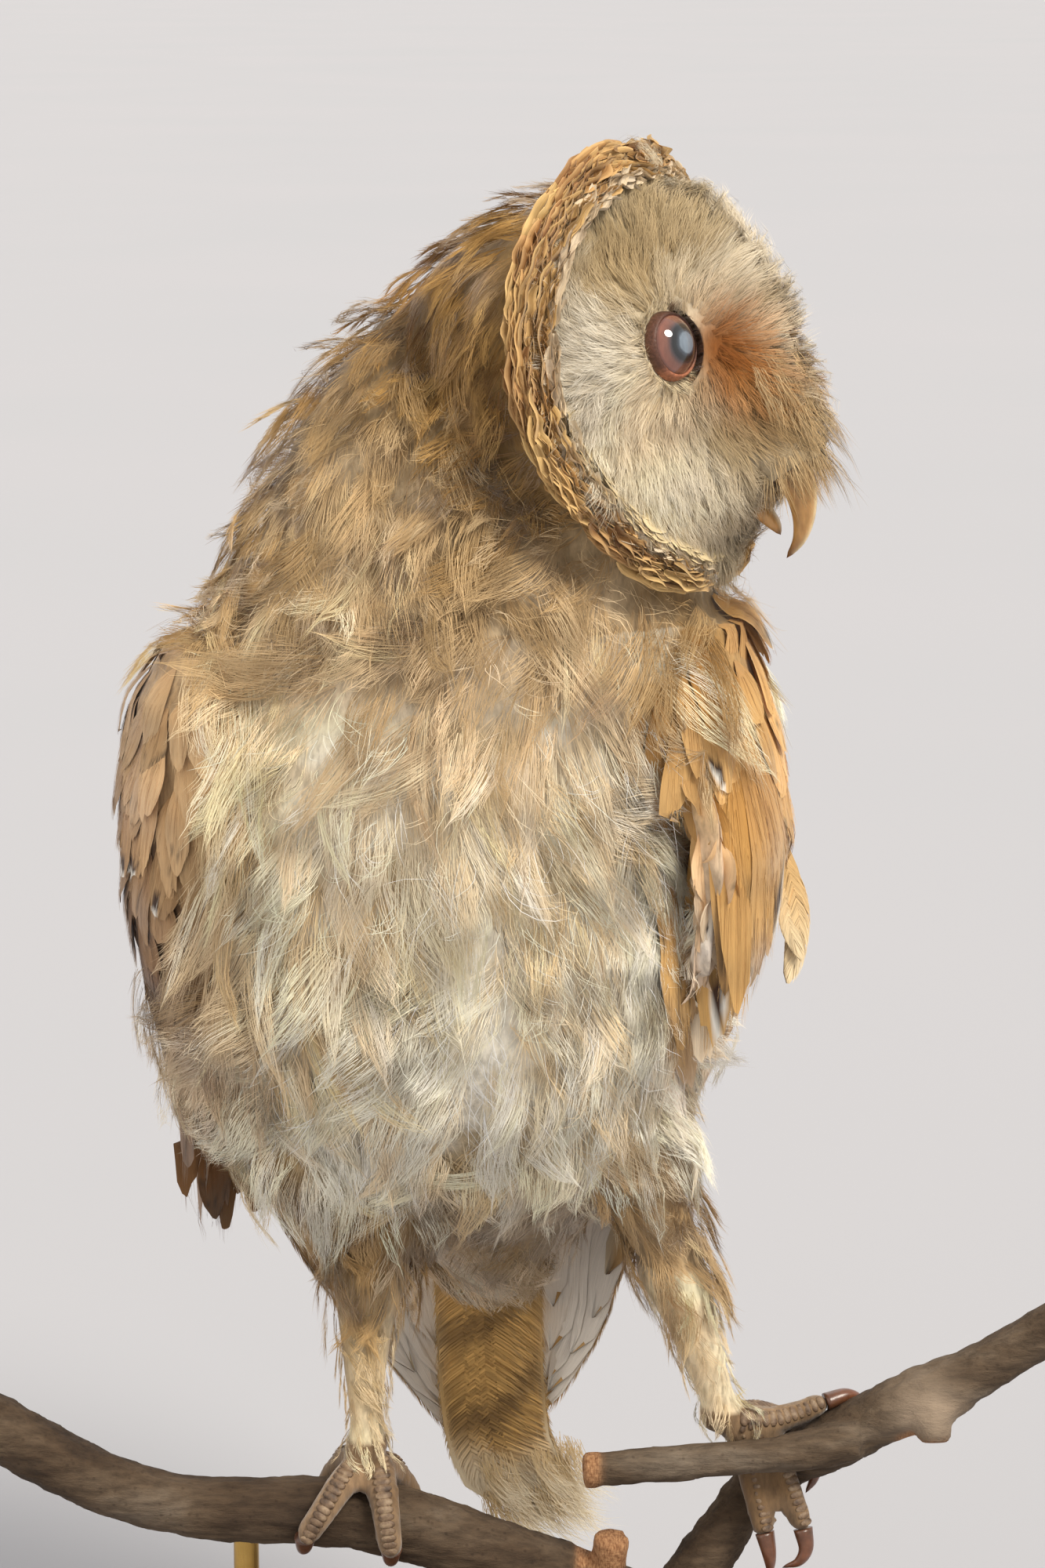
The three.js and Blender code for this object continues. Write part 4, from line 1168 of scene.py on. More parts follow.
dice = new_dice(171)
roots, _ = scatter(["facial_disc"], 1.9 * MM, 172, over_the_bill)
n = len(roots)
_, normal, _ = nearest(skin_tree, roots)
_, r, u = on_head(roots)
out, side = unit(normal), (r / 9)[:, None] * SIDE
down = (-0.95 * UP + 0.20 * FORE) + 0.2 * side + 0.1 * dice.normal(0, 1, (n, 3))
reach = (9 + 6 * np.exp(-((u + 16) / 9) ** 2))[:, None] * MM * dice.uniform(0.7, 1.15, (n, 1))
BENDS = [(0, 0, 0), (0.32, 0.20, 0.0), (0.66, 0.27, 0.04), (1.0, 0.26, 0.14)]  # down, out, fall
shafts = np.stack([roots + reach * (down * a + out * b - UP * c) for a, b, c in BENDS], 1)
brush = Coat("bill_bristles")
tan = rgb(206, 180, 138) * dice.uniform(0.8, 1.1, (n, 1))
lock_coat(brush, shafts, np.repeat(out[:, None], 4, 1), 0.9 * MM, 14, 173,
          (tan, tan * (0.72, 0.62, 0.5)), face_spot, 0.15, gather=0.5, fray=0.1, wander=0.15)
brush.build(DOWN)

# %% [markdown]
# ## The ruff
# Round the disc stands a rim of short stiff feathers, the owl's sound collector. On an old mount
# they dry out and curl like wood shavings, packed side by side. Each one is a cupped, wavy
# sheet that follows the rim, so it is made as a small grid of points rather than as barbs.

# %% Rim of the face
HALF_WIDE, HALF_HIGH = 41.5, 46.0


def rim(angle):
    """The edge of the face in the head's millimetres; the angle runs from the crown."""
    s, c = np.sin(angle), np.cos(angle)
    notch = np.where(c > 0, 3 * np.exp(-(s / 0.22) ** 2), 0)
    broad = np.where(c < 0, 1 - 0.3 * c * c * s * s, 1 + 0.06 * np.abs(s * c))
    return (2.5 * c - 5.5 - 13 * s * s, HALF_WIDE * s * broad,
            HALF_HIGH * c * np.where(c < 0, 0.99, 1.03) - notch)


def ruff_sheets(name, count, seed):
    """Short cupped sheets that run along the rim from the crown toward the chin."""
    dice = new_dice(seed)
    steps, wide = 11, 4
    start = dice.uniform(0, 2 * np.pi, count)
    row = dice.beta(1.1, 1.1, count)
    length = dice.uniform(8.0, 15.0, count) / 43
    toward = np.where(start < np.pi, -1, 1)
    t = np.linspace(0, 1, steps)[None]
    # where each one lies: along the rim, on a rounded band of rows
    angle = start[:, None] + toward[:, None] * length[:, None] * t
    forward = np.array(from_head(*rim(angle)))
    run = unit(np.array(from_head(*rim(angle + 0.01))) - forward) * toward[:, None, None]
    middle = HEAD + (-8 * FORE) * MM
    outward = unit(np.cross(run, np.cross(forward - middle, run)))
    outward = unit(outward - (outward @ FORE)[..., None] * FORE * 0.6)
    thin = 1 - 0.35 * ease(-np.cos(start), -0.2, 0.8)
    band = (row * np.pi * 0.62 + 0.15)[:, None, None]
    over = 4.6 * thin[:, None, None] * MM
    crest = forward + outward * over * (np.sin(band - 0.75) * 1.05) + FORE * over * np.cos(band) * 0.95
    normal = unit(outward * np.sin(band) + FORE * np.cos(band))
    slope = unit(np.cross(run, normal))
    # how each one is dried: it waves, leans and stands off toward its tip
    wave = np.sin(t * dice.uniform(8, 16, (count, 1)) + dice.uniform(0, 6.3, (count, 1)))
    wave = (wave * dice.uniform(0.25, 0.7, (count, 1)))[..., None] * MM
    lean = dice.normal(0, 0.18, (count, 1, 1)) * 8 * MM * t[..., None]
    stand = dice.uniform(-0.8, 0.7, (count, 1)) + 1.5 * t ** 2 * dice.uniform(-0.2, 1, (count, 1))
    shaft = crest + slope * (wave + lean) + normal * (stand[..., None] * MM)
    # its own section: tilted about the run, and curled up at the edges
    s = np.linspace(-1, 1, wide)[None, None]
    width = dice.uniform(0.9, 1.7, (count, 1)) * np.sin(np.pi * (0.12 + 0.8 * t)) ** 0.7
    width = width[..., None] * MM
    tilt = dice.uniform(0.5, 1.25, (count, 1, 1)) * dice.choice((-1, 1), (count, 1, 1), p=(0.25, 0.75))
    curl = dice.uniform(0.2, 1.2, (count, 1, 1)) * s ** 2 + 0.25 * s * np.sin(t[..., None] * 9)
    c, d = np.cos(tilt)[..., None], np.sin(tilt)[..., None]
    side = slope[..., None, :] * c + normal[..., None, :] * d
    up = normal[..., None, :] * c - slope[..., None, :] * d
    points = shaft[..., None, :] + side * (width * s)[..., None] + up * (width * curl)[..., None]
    # gold ground, rusty patches, paler edges, dark tips low on the face and a cream inner row
    low = -np.cos(start)
    dark = np.clip(0.55 * ease(low, 0.0, 0.9) + 0.18 * dice.normal(0, 1, count), 0, 1)[:, None, None, None]
    edge = (s ** 2 * np.ones_like(t)[..., None])[..., None]
    patch = (0.5 + 0.5 * waves(forward[:, 0], 0.02, 75)) * (0.4 + 0.6 * ease(row, 0.3, 0.8))
    ground = RUFF_GOLD + patch[:, None, None, None] * (RUFF_RUST - RUFF_GOLD)
    ground = ground * dice.uniform(0.85, 1.1, (count, 1, 1, 1))
    tip = ease(t, 0.60, 0.9)[:, :, None, None] * dark
    colour = ground * (0.60 + 0.5 * edge) + edge * 0.40 * (RUFF_EDGE - ground)
    colour = colour + tip * (BROWN - colour) * (dice.random((count, 1, 1, 1)) > 0.35)
    pale = (row < 0.22)[:, None, None, None] * 0.6
    colour = colour + pale * (CREAM - colour)
    spots = patch_spots(face_spot(points[:, :1, :1]), 0.45 * s, t[..., None])
    shade = unit(np.cross(np.gradient(points, axis=2), np.gradient(points, axis=1)))
    number = 5.7 * np.arange(count)[:, None, None]
    grain = np.stack(np.broadcast_arrays(1.5 * s + number, 9 * t[..., None]), -1)
    coat = Coat(name)
    coat.sheets(points, shade, np.broadcast_to(colour, points.shape),
                np.broadcast_to(spots, points.shape[:-1] + (2,)), grain, flip=True)
    coat.build(RUFF_SHEET, "ruff_plumage")


RUFF_GOLD, RUFF_RUST, RUFF_EDGE = rgb(212, 168, 100), rgb(164, 104, 40), rgb(238, 210, 156)
RUFF_SHEET = plumage_finish("ruff_sheet", 0.6, 0.15, 0.3, 1400, 0.6)
ruff_sheets("ruff_feathers", 1250, 71)

# %% [markdown]
# Inside the ruff the last feathers of the disc stand on edge, pale and flat, like the pages of a
# book that was left open. They make the step from the silky disc to the golden rim. Each page
# follows the rim a little further in, and lies on the skin.

# %% Pale pages inside the ruff
dice = new_dice(76)
count, steps = 260, np.linspace(0, 1, 7)
start = dice.uniform(0.5, 0.98, count) * np.pi * dice.choice((-1, 1), count)
inset = dice.uniform(0.80, 0.95, count)[:, None]
angle = start[:, None] + np.sign(start)[:, None] * dice.uniform(0.14, 0.24, count)[:, None] * steps
f, r, u = rim(angle)
inner = np.asarray(from_head(f + 3, r * inset, u * inset))
place, normal, _ = nearest(skin_tree, inner.reshape(-1, 3))
place, normal = place.reshape(inner.shape), unit(normal).reshape(inner.shape)
place = place + normal * (0.8 + 0.4 * np.sin(9 * steps + 6 * inset))[..., None] * MM
slope = unit(np.cross(np.gradient(place, axis=1), normal))
s = np.linspace(-1, 1, 5)[None, None, :, None]
tilt = dice.uniform(0.3, 0.9, (count, 1, 1, 1))
wide = 2.0 * MM * (np.sin(np.pi * (0.1 + 0.82 * steps)) ** 0.6)[None, :, None, None]
wide = wide * dice.uniform(0.7, 1.2, (count, 1, 1, 1))
side = slope[:, :, None] * np.cos(tilt) + normal[:, :, None] * np.sin(tilt)
points = place[:, :, None] + side * s * wide + normal[:, :, None] * (0.35 * wide * (s * s + 0.8 * s))
shade = unit(np.cross(np.gradient(points, axis=2), np.gradient(points, axis=1)))
tint = rgb(226, 204, 158) * (0.78 + 0.3 * s * s) * dice.uniform(0.8, 1.1, (count, 1, 1, 1))
spots = patch_spots(face_spot(place[:, :1, None]), 0.45 * s[..., 0], steps[None, :, None])
number = 5.7 * np.arange(count)[:, None, None]
grain = np.stack(np.broadcast_arrays(2 * s[..., 0] + number, 10 * steps[None, :, None]), -1)
pages = Coat("ruff_pages")
pages.sheets(*(values.swapaxes(1, 2) for values in (
    points, shade, tint * np.ones_like(points), np.broadcast_to(spots, points.shape[:3] + (2,)), grain)))
pages.build(RUFF_SHEET)

# %% [markdown]
# ## Eyes and lids
# The mount has old glass eyes: a clouded blue-grey pupil in a red-brown iris. The pupil's pale
# centre is partly clouded glass and partly a painted reflection. The finish reads how far each
# point lies from the line of sight, kept as an attribute on the ball, so pupil and iris stay round
# from any side. Lids are a lathed ring that lies on the ball and dips under the down.

# %% Glass eyes
def closed_mesh(name, points, faces):
    """A smooth closed mesh whose faces point outwards."""
    mesh = bpy.data.meshes.new(name)
    mesh.from_pydata(points, [], faces)
    body = bmesh.new()
    body.from_mesh(mesh)
    bmesh.ops.recalc_face_normals(body, faces=body.faces)
    body.to_mesh(mesh)
    body.free()
    mesh.shade_smooth()
    return mesh


def side_faces(rows, sides):
    """Four-sided faces between rings that follow each other."""
    faces = []
    for i in range(rows - 1):
        for j in range(sides):
            a, b = i * sides + j, i * sides + (j + 1) % sides
            faces.append((a, b, b + sides, a + sides))
    return faces


def lathed(name, centre, axis, profile, sides, capped=False):
    """A lathe: profile holds (reach from the axis, height along it) in mm."""
    across = unit(np.cross(axis, UP))
    other = np.cross(axis, across)
    angle = (np.arange(sides) * 2 * np.pi / sides)[:, None]
    ring = np.cos(angle) * across + np.sin(angle) * other
    rows = [centre + (ring * reach + axis * high) * MM for reach, high in profile]
    faces = side_faces(len(rows), sides)
    if capped:
        faces.append(tuple(range(sides))[::-1])
        faces.append(tuple((len(rows) - 1) * sides + j for j in range(sides)))
    return closed_mesh(name, np.concatenate(rows).tolist(), faces)


def float_layer(mesh, name, values):
    mesh.attributes.new(name, "FLOAT", "POINT").data.foreach_set("value", np.asarray(values, float))


def eye_glass():
    material, tree, shader = new_finish("eye_glass", 0.06, Coat_Weight=1.0, Coat_Roughness=0.03,
                                        Specular_IOR_Level=0.5)
    cloud = noise_on_object(tree, 260, 4.0)
    shift = add_node(tree, "ShaderNodeMath", {"operation": "MULTIPLY_ADD"})
    for socket, value in zip(shift.inputs, (cloud, 0.06, stored(tree, "gaze"))):
        give(tree, socket, value)
    # the pale blue-grey centre of the pupil is partly clouded glass and partly a painted reflection
    bands = ramp(tree, shift.outputs[0], (0.56, tone(34, 18, 14)), (0.62, tone(84, 46, 36)),
                 (0.70, tone(128, 78, 62)), (0.82, tone(112, 72, 60)), (0.885, tone(62, 50, 52)),
                 (0.915, tone(18, 19, 23)), (0.955, tone(26, 29, 34)), (0.985, tone(58, 66, 76)),
                 (1.0, tone(112, 124, 136)))
    streak = noise_on_object(tree, 900, 5.0, (1, 1, 0.3))
    finished(tree, shader, mottled(tree, bands, streak, 0.7, (0.35, 0.75), (0.65, 1.1)))
    return material


EYE_GLASS = eye_glass()
for word, side in (("right", 1), ("left", -1)):
    centre, line = eye_centre(side), gaze_line(side)
    steps = np.radians(np.linspace(0.5, 179.5, 60))
    profile = [(EYE_RADIUS * math.sin(a), EYE_RADIUS * math.cos(a)) for a in steps]
    mesh = lathed("eye_ball_" + word, centre, line, profile, 64, True)
    float_layer(mesh, "gaze", (points_of(mesh) - centre) @ line / (EYE_RADIUS * MM))
    mesh.materials.append(EYE_GLASS)
    dress(linked("eye_ball_" + word, mesh), "eye", "eye_" + word)

# %% [markdown]
# The lids are bare dried skin: dark toward the inner corner, pinkish and damp at the lower edge,
# and dusty where the feathers begin. They are painted point by point, as a taxidermist tints
# them with a small brush.

# %% Lids
def lid_finish():
    material, tree, shader = new_finish("eyelid", 0.5, Specular_IOR_Level=0.4)
    grain = noise_on_object(tree, 1500, 4.0)
    colour = mottled(tree, stored(tree, "tint", "Color"), grain, 1.0, (0.3, 0.6), (0.7, 1.15))
    finished(tree, shader, colour, grain, 0.6, 0.0004)
    return material


LID = lid_finish()
LID_PROFILE = [(6.5, 4.95), (6.7, 5.15), (6.95, 5.1), (7.2, 4.7), (7.45, 4.0), (7.7, 3.0), (7.9, 1.2),
               (8.1, -2.5), (7.7, -2.5), (7.3, 2.4), (6.9, 4.2), (6.5, 4.95)]
LID_TONE, SHADE_TONE, WET_TONE = rgb(92, 58, 44), rgb(46, 25, 18), rgb(170, 108, 78)
RIM_TONE, RUST_TONE = rgb(176, 156, 120), rgb(120, 72, 30)

for word, side in (("right", 1), ("left", -1)):
    centre, line = eye_centre(side), gaze_line(side)
    mesh = lathed("eyelids_" + word, centre, line, LID_PROFILE, 72)
    place = points_of(mesh)
    above, inward = round_the_eye(place, side)
    reach = np.linalg.norm(np.cross(place - centre, line), axis=1) / MM
    colour = np.tile(LID_TONE, (len(place), 1))
    colour += ease(above * 0.7 + inward * 0.8, 0.1, 0.9)[:, None] * (SHADE_TONE - colour)
    colour += (ease(-above, 0.45, 0.8) * (reach < 8.2))[:, None] * (WET_TONE - colour)
    rim_tone = RIM_TONE + ease(inward, 0.0, 0.6)[:, None] * (RUST_TONE - RIM_TONE)
    colour += ease(reach, 7.65, 8.0)[:, None] * (rim_tone - colour)
    tint_layer(mesh, colour)
    mesh.materials.append(LID)
    dress(linked("eyelids_" + word, mesh), "toe_skin")
print("eyes and lids on both sides")

# %% [markdown]
# ## Bill and claws
# Both are curved tapering horn, translucent at the edges and streaked along their length. They
# are lofts: rings of points set along a curve, closed at the tip. Streaks come from noise that
# is stretched along the horn.

# %% Bill
def spline(rows, steps):
    """Catmull-Rom through rows of numbers, with steps between each pair."""
    rows = np.asarray(rows, float)
    full = np.concatenate((rows[:1] * 2 - rows[1:2], rows, rows[-1:] * 2 - rows[-2:-1]))
    out = []
    for i in range(len(rows) - 1):
        a, b, c, d = full[i:i + 4]
        for t in np.arange(steps) / steps:
            out.append(0.5 * (2 * b + (c - a) * t + (2 * a - 5 * b + 4 * c - d) * t * t
                              + (3 * b - a - 3 * c + d) * t ** 3))
    return np.array(out + [rows[-1]])


def ring_mesh(name, rings, tip):
    """A closed skin over rings of points that ends in a tip."""
    count, sides, _ = rings.shape
    points = rings.reshape(-1, 3).tolist() + [list(tip)]
    last = (count - 1) * sides
    faces = side_faces(count, sides)
    faces += [(last + j, last + (j + 1) % sides, len(points) - 1) for j in range(sides)]
    faces.append(tuple(range(sides))[::-1])
    return closed_mesh(name, points, faces)


def bill_part(name, rows, tip, node):
    """Horn along rows of forward, up, half width and thickness on the head (mm), to a tip."""
    rows = np.array(rows, float)
    path = spline(np.r_[rows, [[tip[0], tip[1], 0.25, 0.3]]], 8)[:-2]
    angle = np.arange(28) * 2 * np.pi / 28
    slope = np.gradient(path[:, :2], axis=0)
    slope /= np.linalg.norm(slope, axis=1, keepdims=True)
    rings = []
    for (f, u, half, thick), (df, du) in zip(path, slope):
        c, s = np.cos(angle), np.sin(angle)
        keel = np.sign(s) * np.abs(s) ** 0.85 * thick
        rings.append(from_head(f + keel * -du, c * np.abs(c) ** 0.15 * half, u + keel * df))
    end = from_head(*[np.array(v) for v in (tip[0], 0.0, tip[1])])
    mesh = ring_mesh(name, np.array(rings), end)
    f, r, u = on_head(points_of(mesh))
    float_layer(mesh, "down", (rows[0][1] - u) / (rows[0][1] - tip[1]))
    before = f - np.interp(u, path[::-1, 1], path[::-1, 0])
    float_layer(mesh, "crest", np.exp(-(r / 0.75) ** 2) * ease(before, 0, 2))
    mesh.materials.append(HORN)
    dress(linked(name, mesh), "horn", node)


def horn_finish(name, dark, mid, light, roughness, stretch):
    """Horn that is darker at root and tip, lighter along its crest, and streaked."""
    material, tree, shader = new_finish(name, roughness, Coat_Weight=0.25, Coat_Roughness=0.25,
                                        Subsurface_Weight=0.15, Subsurface_Scale=0.002)
    streak = noise_on_object(tree, 700, 4.0, stretch)
    base = ramp(tree, stored(tree, "down"), (0.0, dark), (0.45, mid), (0.85, mid), (1.0, dark))
    crest_lightened = blend_colours(tree, base, light, stored(tree, "crest"))
    finished(tree, shader, mottled(tree, crest_lightened, streak, 0.8, (0.3, (0.6, 0.55, 0.5, 1)), (0.7, 1.1)),
             streak, 0.25, 0.0003)
    return material


HORN = horn_finish("bill_horn", tone(108, 70, 34), tone(190, 144, 86), tone(238, 214, 166), 0.35,
                   (1, 1, 0.25))
HOOK = [(10, -14, 4.2, 5.4), (14.8, -22, 4.6, 5.4), (17.6, -30, 3.6, 4.2), (17.4, -37, 2.4, 2.9),
        (14.9, -42.6, 1.3, 1.6)]
SCOOP = [(2, -26, 3.4, 2.4), (6.5, -33, 3.2, 2.2), (9.5, -38, 2.2, 1.5)]
bill_part("bill_hook", HOOK, (10.6, -46.3), "bill_upper")
bill_part("bill_scoop", SCOOP, (10.6, -41), "bill_lower")
print("bill of two parts")

# %% [markdown]
# The claws curl round the branch. Those of the right foot lie across the thick limb, so their
# paths are wrapped round its line. Those of the left foot hang on the stub, and their paths are
# given point by point.

# %% Claws
def swept(name, rows, sides, steps, flat, tip):
    """A tube along rows of x, y, z, radius in mm, with rings that don't twist."""
    path = spline(rows, steps)
    run = unit(np.gradient(path[:, :3], axis=0))
    across = unit(np.cross(run[0], np.array((0, 0, 1.0)) + 1e-3))
    rings, angle = [], (np.arange(sides) * 2 * np.pi / sides)[:, None]
    for (x, y, z, radius), way in zip(path, run):
        across = unit(across - (across @ way) * way)
        ring = np.cos(angle) * across + flat * np.sin(angle) * np.cross(way, across)
        rings.append((np.array((x, y, z)) + radius * ring) * MM)
    return ring_mesh(name, np.array(rings), tip), path


LIMB = [(-133, 2, 103, 7.4), (-112, 0, 91, 7.2), (-89, 0, 81, 7.2), (-65, 0, 78, 7.6), (-40, 0, 77.5, 8.4),
        (-12, 0, 69, 8.4), (12, 2, 58.5, 8.6), (32, 4, 50, 8.2)]
LIMB_LINE = spline(LIMB, 8)


def wrapped(x0, x1, turn0, turn1, r0, r1):
    """A toe or claw laid round the limb: x and turn run from the first value to the second."""
    rows = []
    for t in np.linspace(0, 1, 4):
        x, radius = x0 + (x1 - x0) * t, r0 + (r1 - r0) * t
        turn = math.radians(turn0 + (turn1 - turn0) * t)
        cy, cz, limb = (np.interp(x, LIMB_LINE[:, 0], LIMB_LINE[:, i]) for i in (1, 2, 3))
        reach = limb + radius + 0.3
        rows.append((x, cy - reach * math.sin(turn), cz + reach * math.cos(turn), radius))
    return rows


CLAW_PATHS = {  # x, y, z and radius (mm)
    "claw_right_1": wrapped(-51.3, -52.5, 104, 170, 2.6, 0.5),
    "claw_right_2": wrapped(-31, -31.5, 104, 168, 2.6, 0.5),
    "claw_right_3": wrapped(-49.4, -52, -104, -165, 2.5, 0.5),
    "claw_right_4": wrapped(-24.4, -23, -100, -160, 2.4, 0.5),
    "claw_left_1": [(72.4, 6.2, 102.9, 2.5), (77, 7.6, 104, 2.0), (80, 9.2, 103, 1.4),
                    (82, 10.6, 101, 0.5)],
    "claw_left_2": [(57.8, -0.8, 72.6, 2.5), (58.8, -1.8, 68, 1.9), (59.2, -1.2, 64.5, 1.3),
                    (59, 0, 61.5, 0.5)],
    "claw_left_3": [(66.9, -0.8, 73.6, 2.5), (67.6, -1.8, 69, 1.9), (66, -2, 65.8, 1.3),
                    (63, -1.6, 64.4, 0.5)],
    "claw_left_4": [(70.0, 18.2, 86.8, 2.5), (71, 17.6, 82, 1.9), (70.4, 16.6, 79, 1.3),
                    (69, 15.4, 77, 0.5)],
}
CLAW = horn_finish("claw_horn", tone(58, 34, 24), tone(92, 52, 34), tone(146, 98, 66), 0.32, (1, 1, 1))
for node, rows in CLAW_PATHS.items():
    rows = np.array(rows)
    ends = rows[-1, :3] + 0.35 * (rows[-1, :3] - rows[-2, :3])
    mesh, path = swept(node + "_horn", rows, 16, 6, 0.85, ends * MM)
    place = points_of(mesh) / MM
    near = ((place[:, None] - path[None, :, :3]) ** 2).sum(2).argmin(1) / (len(path) - 1)
    float_layer(mesh, "down", near)
    float_layer(mesh, "crest", 0.25 * np.ones(len(place)))
    mesh.materials.append(CLAW)
    dress(linked(node + "_horn", mesh), "claw", node)
print("eight claws")

# %% [markdown]
# ## Wings
# A folded wing shows two kinds of feather. Coverts lie over it in rows, broad and soft, golden
# with grey peppered tips, and here and there a dark spot with a white pearl under it. Below
# them the long flight feathers stack like a closed fan. The coverts grow on the skin as the
# breast does. The flight feathers are laid on the same curved sheet that shaped the solid wing.

# %% Wing coverts
def down_wing(points):
    """Down and back along the folded wing."""
    p = np.asarray(points) / MM
    way = np.zeros_like(p)
    way[:, 2] = -1
    way[:, 1] = 0.30 + 0.25 * ease(-p[:, 2], -240, -170)
    way[:, 0] = -0.12 * np.sign(p[:, 0])
    return way


def peppered(seed, grey, pearls):
    """A painter for feathers: grey speckled tips, and some with a dark spot over a pearl."""
    dice = new_dice(seed)
    pick = dice.random(4000)
    amount = dice.random(4000)

    def paint(shade, share, beside, index):
        speck = dice.normal(0, 1, share.shape)
        cover = ease(share, 0.35, 0.75) * grey * amount[index]
        colour = shade + (cover * (0.75 + 0.35 * speck).clip(0, 1))[..., None] * (ASH - shade)
        fleck = (cover > 0.15) & (speck > 1.1)
        colour = np.where(fleck[..., None], colour * 0.45, colour)
        spot = (pick[index] < pearls) & (np.abs(beside) < 0.42)
        dark, pearl = spot & (share > 0.74) & (share < 0.86), spot & (share >= 0.86) & (share < 0.95)
        colour = np.where(dark[..., None], DARK * 1.3, colour)
        return np.where(pearl[..., None], WHITE, colour)
    return paint


HANGS = (0, 0.05, -1.0)  # the way of a covert that has run past the wing's edge
LAID = dict(hang=HANGS, drift=0.10, lie=down_wing, stray=0.07, bend=0.1, lift=0.2, base=(0.88, 0.80, 0.70))
CLOSED = dict(sheet=True, relief=0.3, cup=0.22, fringe_from=0.1, gather=0.25, hair=0.13, loose=0.4,
              round_tip=0.3, beyond=0.05)


def covert_length(p):
    """Long in the middle of the wing, short at the shoulder and at the lower edge (mm)."""
    return 28 + 36 * ease(-p[:, 2], -285, -235) - 34 * ease(-p[:, 2], -218, -172)


for word, seed, grey, pearls in (("right", 101, 0.45, 0.2), ("left", 111, 0.35, 0.16)):
    wing = Coat("wing_coverts_" + word)
    body_petals(wing, ["wing_%s_shoulder" % word], 4.8, seed, 22, 4.8, 2.6, 30,
                paint=peppered(seed, grey * 0.5, pearls * 0.5), **LAID, **CLOSED)
    body_petals(wing, ["wing_%s_coverts" % word], 5.8, seed + 5, covert_length, 6.8, 2.6, 50,
                paint=peppered(seed + 6, grey, pearls), **LAID, **CLOSED)
    if word == "left":
        body_petals(wing, ["trunk", "neck"], 5.0, 118, lambda p: 24 + 32 * ease(-p[:, 2], -285, -240),
                    4.8, 4.2, 40, as_part="wing_left_shoulder", paint=peppered(119, grey, pearls),
                    keep=lambda p: golden_side(p) & (p[:, 0] < 0.047), **LAID, **CLOSED)
        lane = np.linspace(0, 1, 9)
        start = np.c_[31 + 21 * lane, -32 + 10 * lane, 262 + 12 * lane] * MM
        roots, _, _ = nearest(skin_tree, start)
        shafts, outs = walk(roots, lambda p: down_wing(p) + np.array((0.26, -0.2, 0)),
                            (74 - 22 * lane) * MM, 7.0 * MM, 10, hang=HANGS)
        petals(wing, shafts, outs, 6.0 * MM, 120, (rgb(178, 128, 62), rgb(206, 162, 98)), body_spot, 60,
               paint=peppered(121, 0.3, 0.3), **CLOSED)
    wing.build(DOWN)

# %% [markdown]
# A flight feather has a stiff flat vane, so it must be solid from both sides. Each one is a thin
# blade with a shallow cup, under fine barbs that give it its silk. The folded wing is one curved
# sheet, and every feather gets a lane on it from front to back.

# %% The wing as a curved sheet
# height, centre x and y, half axes across and along, first and last turn (degrees), thickness
WING_ROWS = {
    "right": (-1, [(290, -12, 0, 64, 48, -26, 12, 8), (277, -14, 0, 66, 50, -40, 40, 11),
                   (255, -20, 0, 62, 52, -36, 62, 12), (230, -21, 2, 61, 52, -31, 74, 11.5),
                   (206, -21, 5, 61, 50, -20, 80, 8.5), (188, -20, 10, 60, 46, -8, 83, 7),
                   (174, -19, 14, 60, 43, -4, 85, 6.5), (162, -18, 18, 58, 40, 0, 85, 5.5),
                   (150, -15, 24, 50, 38, 14, 85, 5.2), (135, -12, 31, 49, 35, 18, 83, 4.6),
                   (113, -9, 42, 43, 29, 22, 78, 3.8), (90, -6, 54, 31, 20, 28, 72, 3),
                   (70, -4, 63, 19, 12, 36, 66, 2.2), (60, -4, 68, 12, 8, 42, 60, 1.4)]),
    "left": (1, [(297, -10, 0, 56, 44, -36, 10, 6), (282, -12, 0, 60, 48, -48, 36, 8),
                 (262, -14, 1, 67, 52, -43, 56, 8), (242, -12, 3, 67, 52, -42, 66, 8.5),
                 (217, -13, 5, 63, 50, -38, 74, 7.5), (195, -14, 9, 58, 46, -22, 79, 6.5),
                 (182, -14, 13, 54, 43, -6, 82, 6), (165, -13, 19, 49, 40, 8, 83, 5.5),
                 (145, -10, 29, 45, 34, 16, 82, 5), (121, -8, 40, 35, 26, 20, 78, 4.2),
                 (104, -6, 48, 29, 20, 22, 74, 3.4), (88, -6, 57, 21, 14, 28, 70, 2.8),
                 (76, -5, 63, 14, 9, 34, 66, 2.2), (68, -5, 66, 10, 6, 40, 60, 1.4)]),
}


def sheet_point(line, sign, z, share, proud):
    """A place on the folded wing: height in mm, share from its front edge to its back one."""
    order = line[::-1]
    cx, cy, a, b, first, last, thick = (np.interp(z, order[:, 0], order[:, i]) for i in range(1, 8))
    turn = np.radians(first + (last - first) * share)
    out = proud + thick * np.sqrt(np.sin(np.pi * np.clip(0.02 + share, 0.02, 0.98)))
    return np.stack((cx + sign * (a + out) * np.cos(turn), cy + (b + out) * np.sin(turn),
                     z * np.ones_like(turn)), -1) * MM


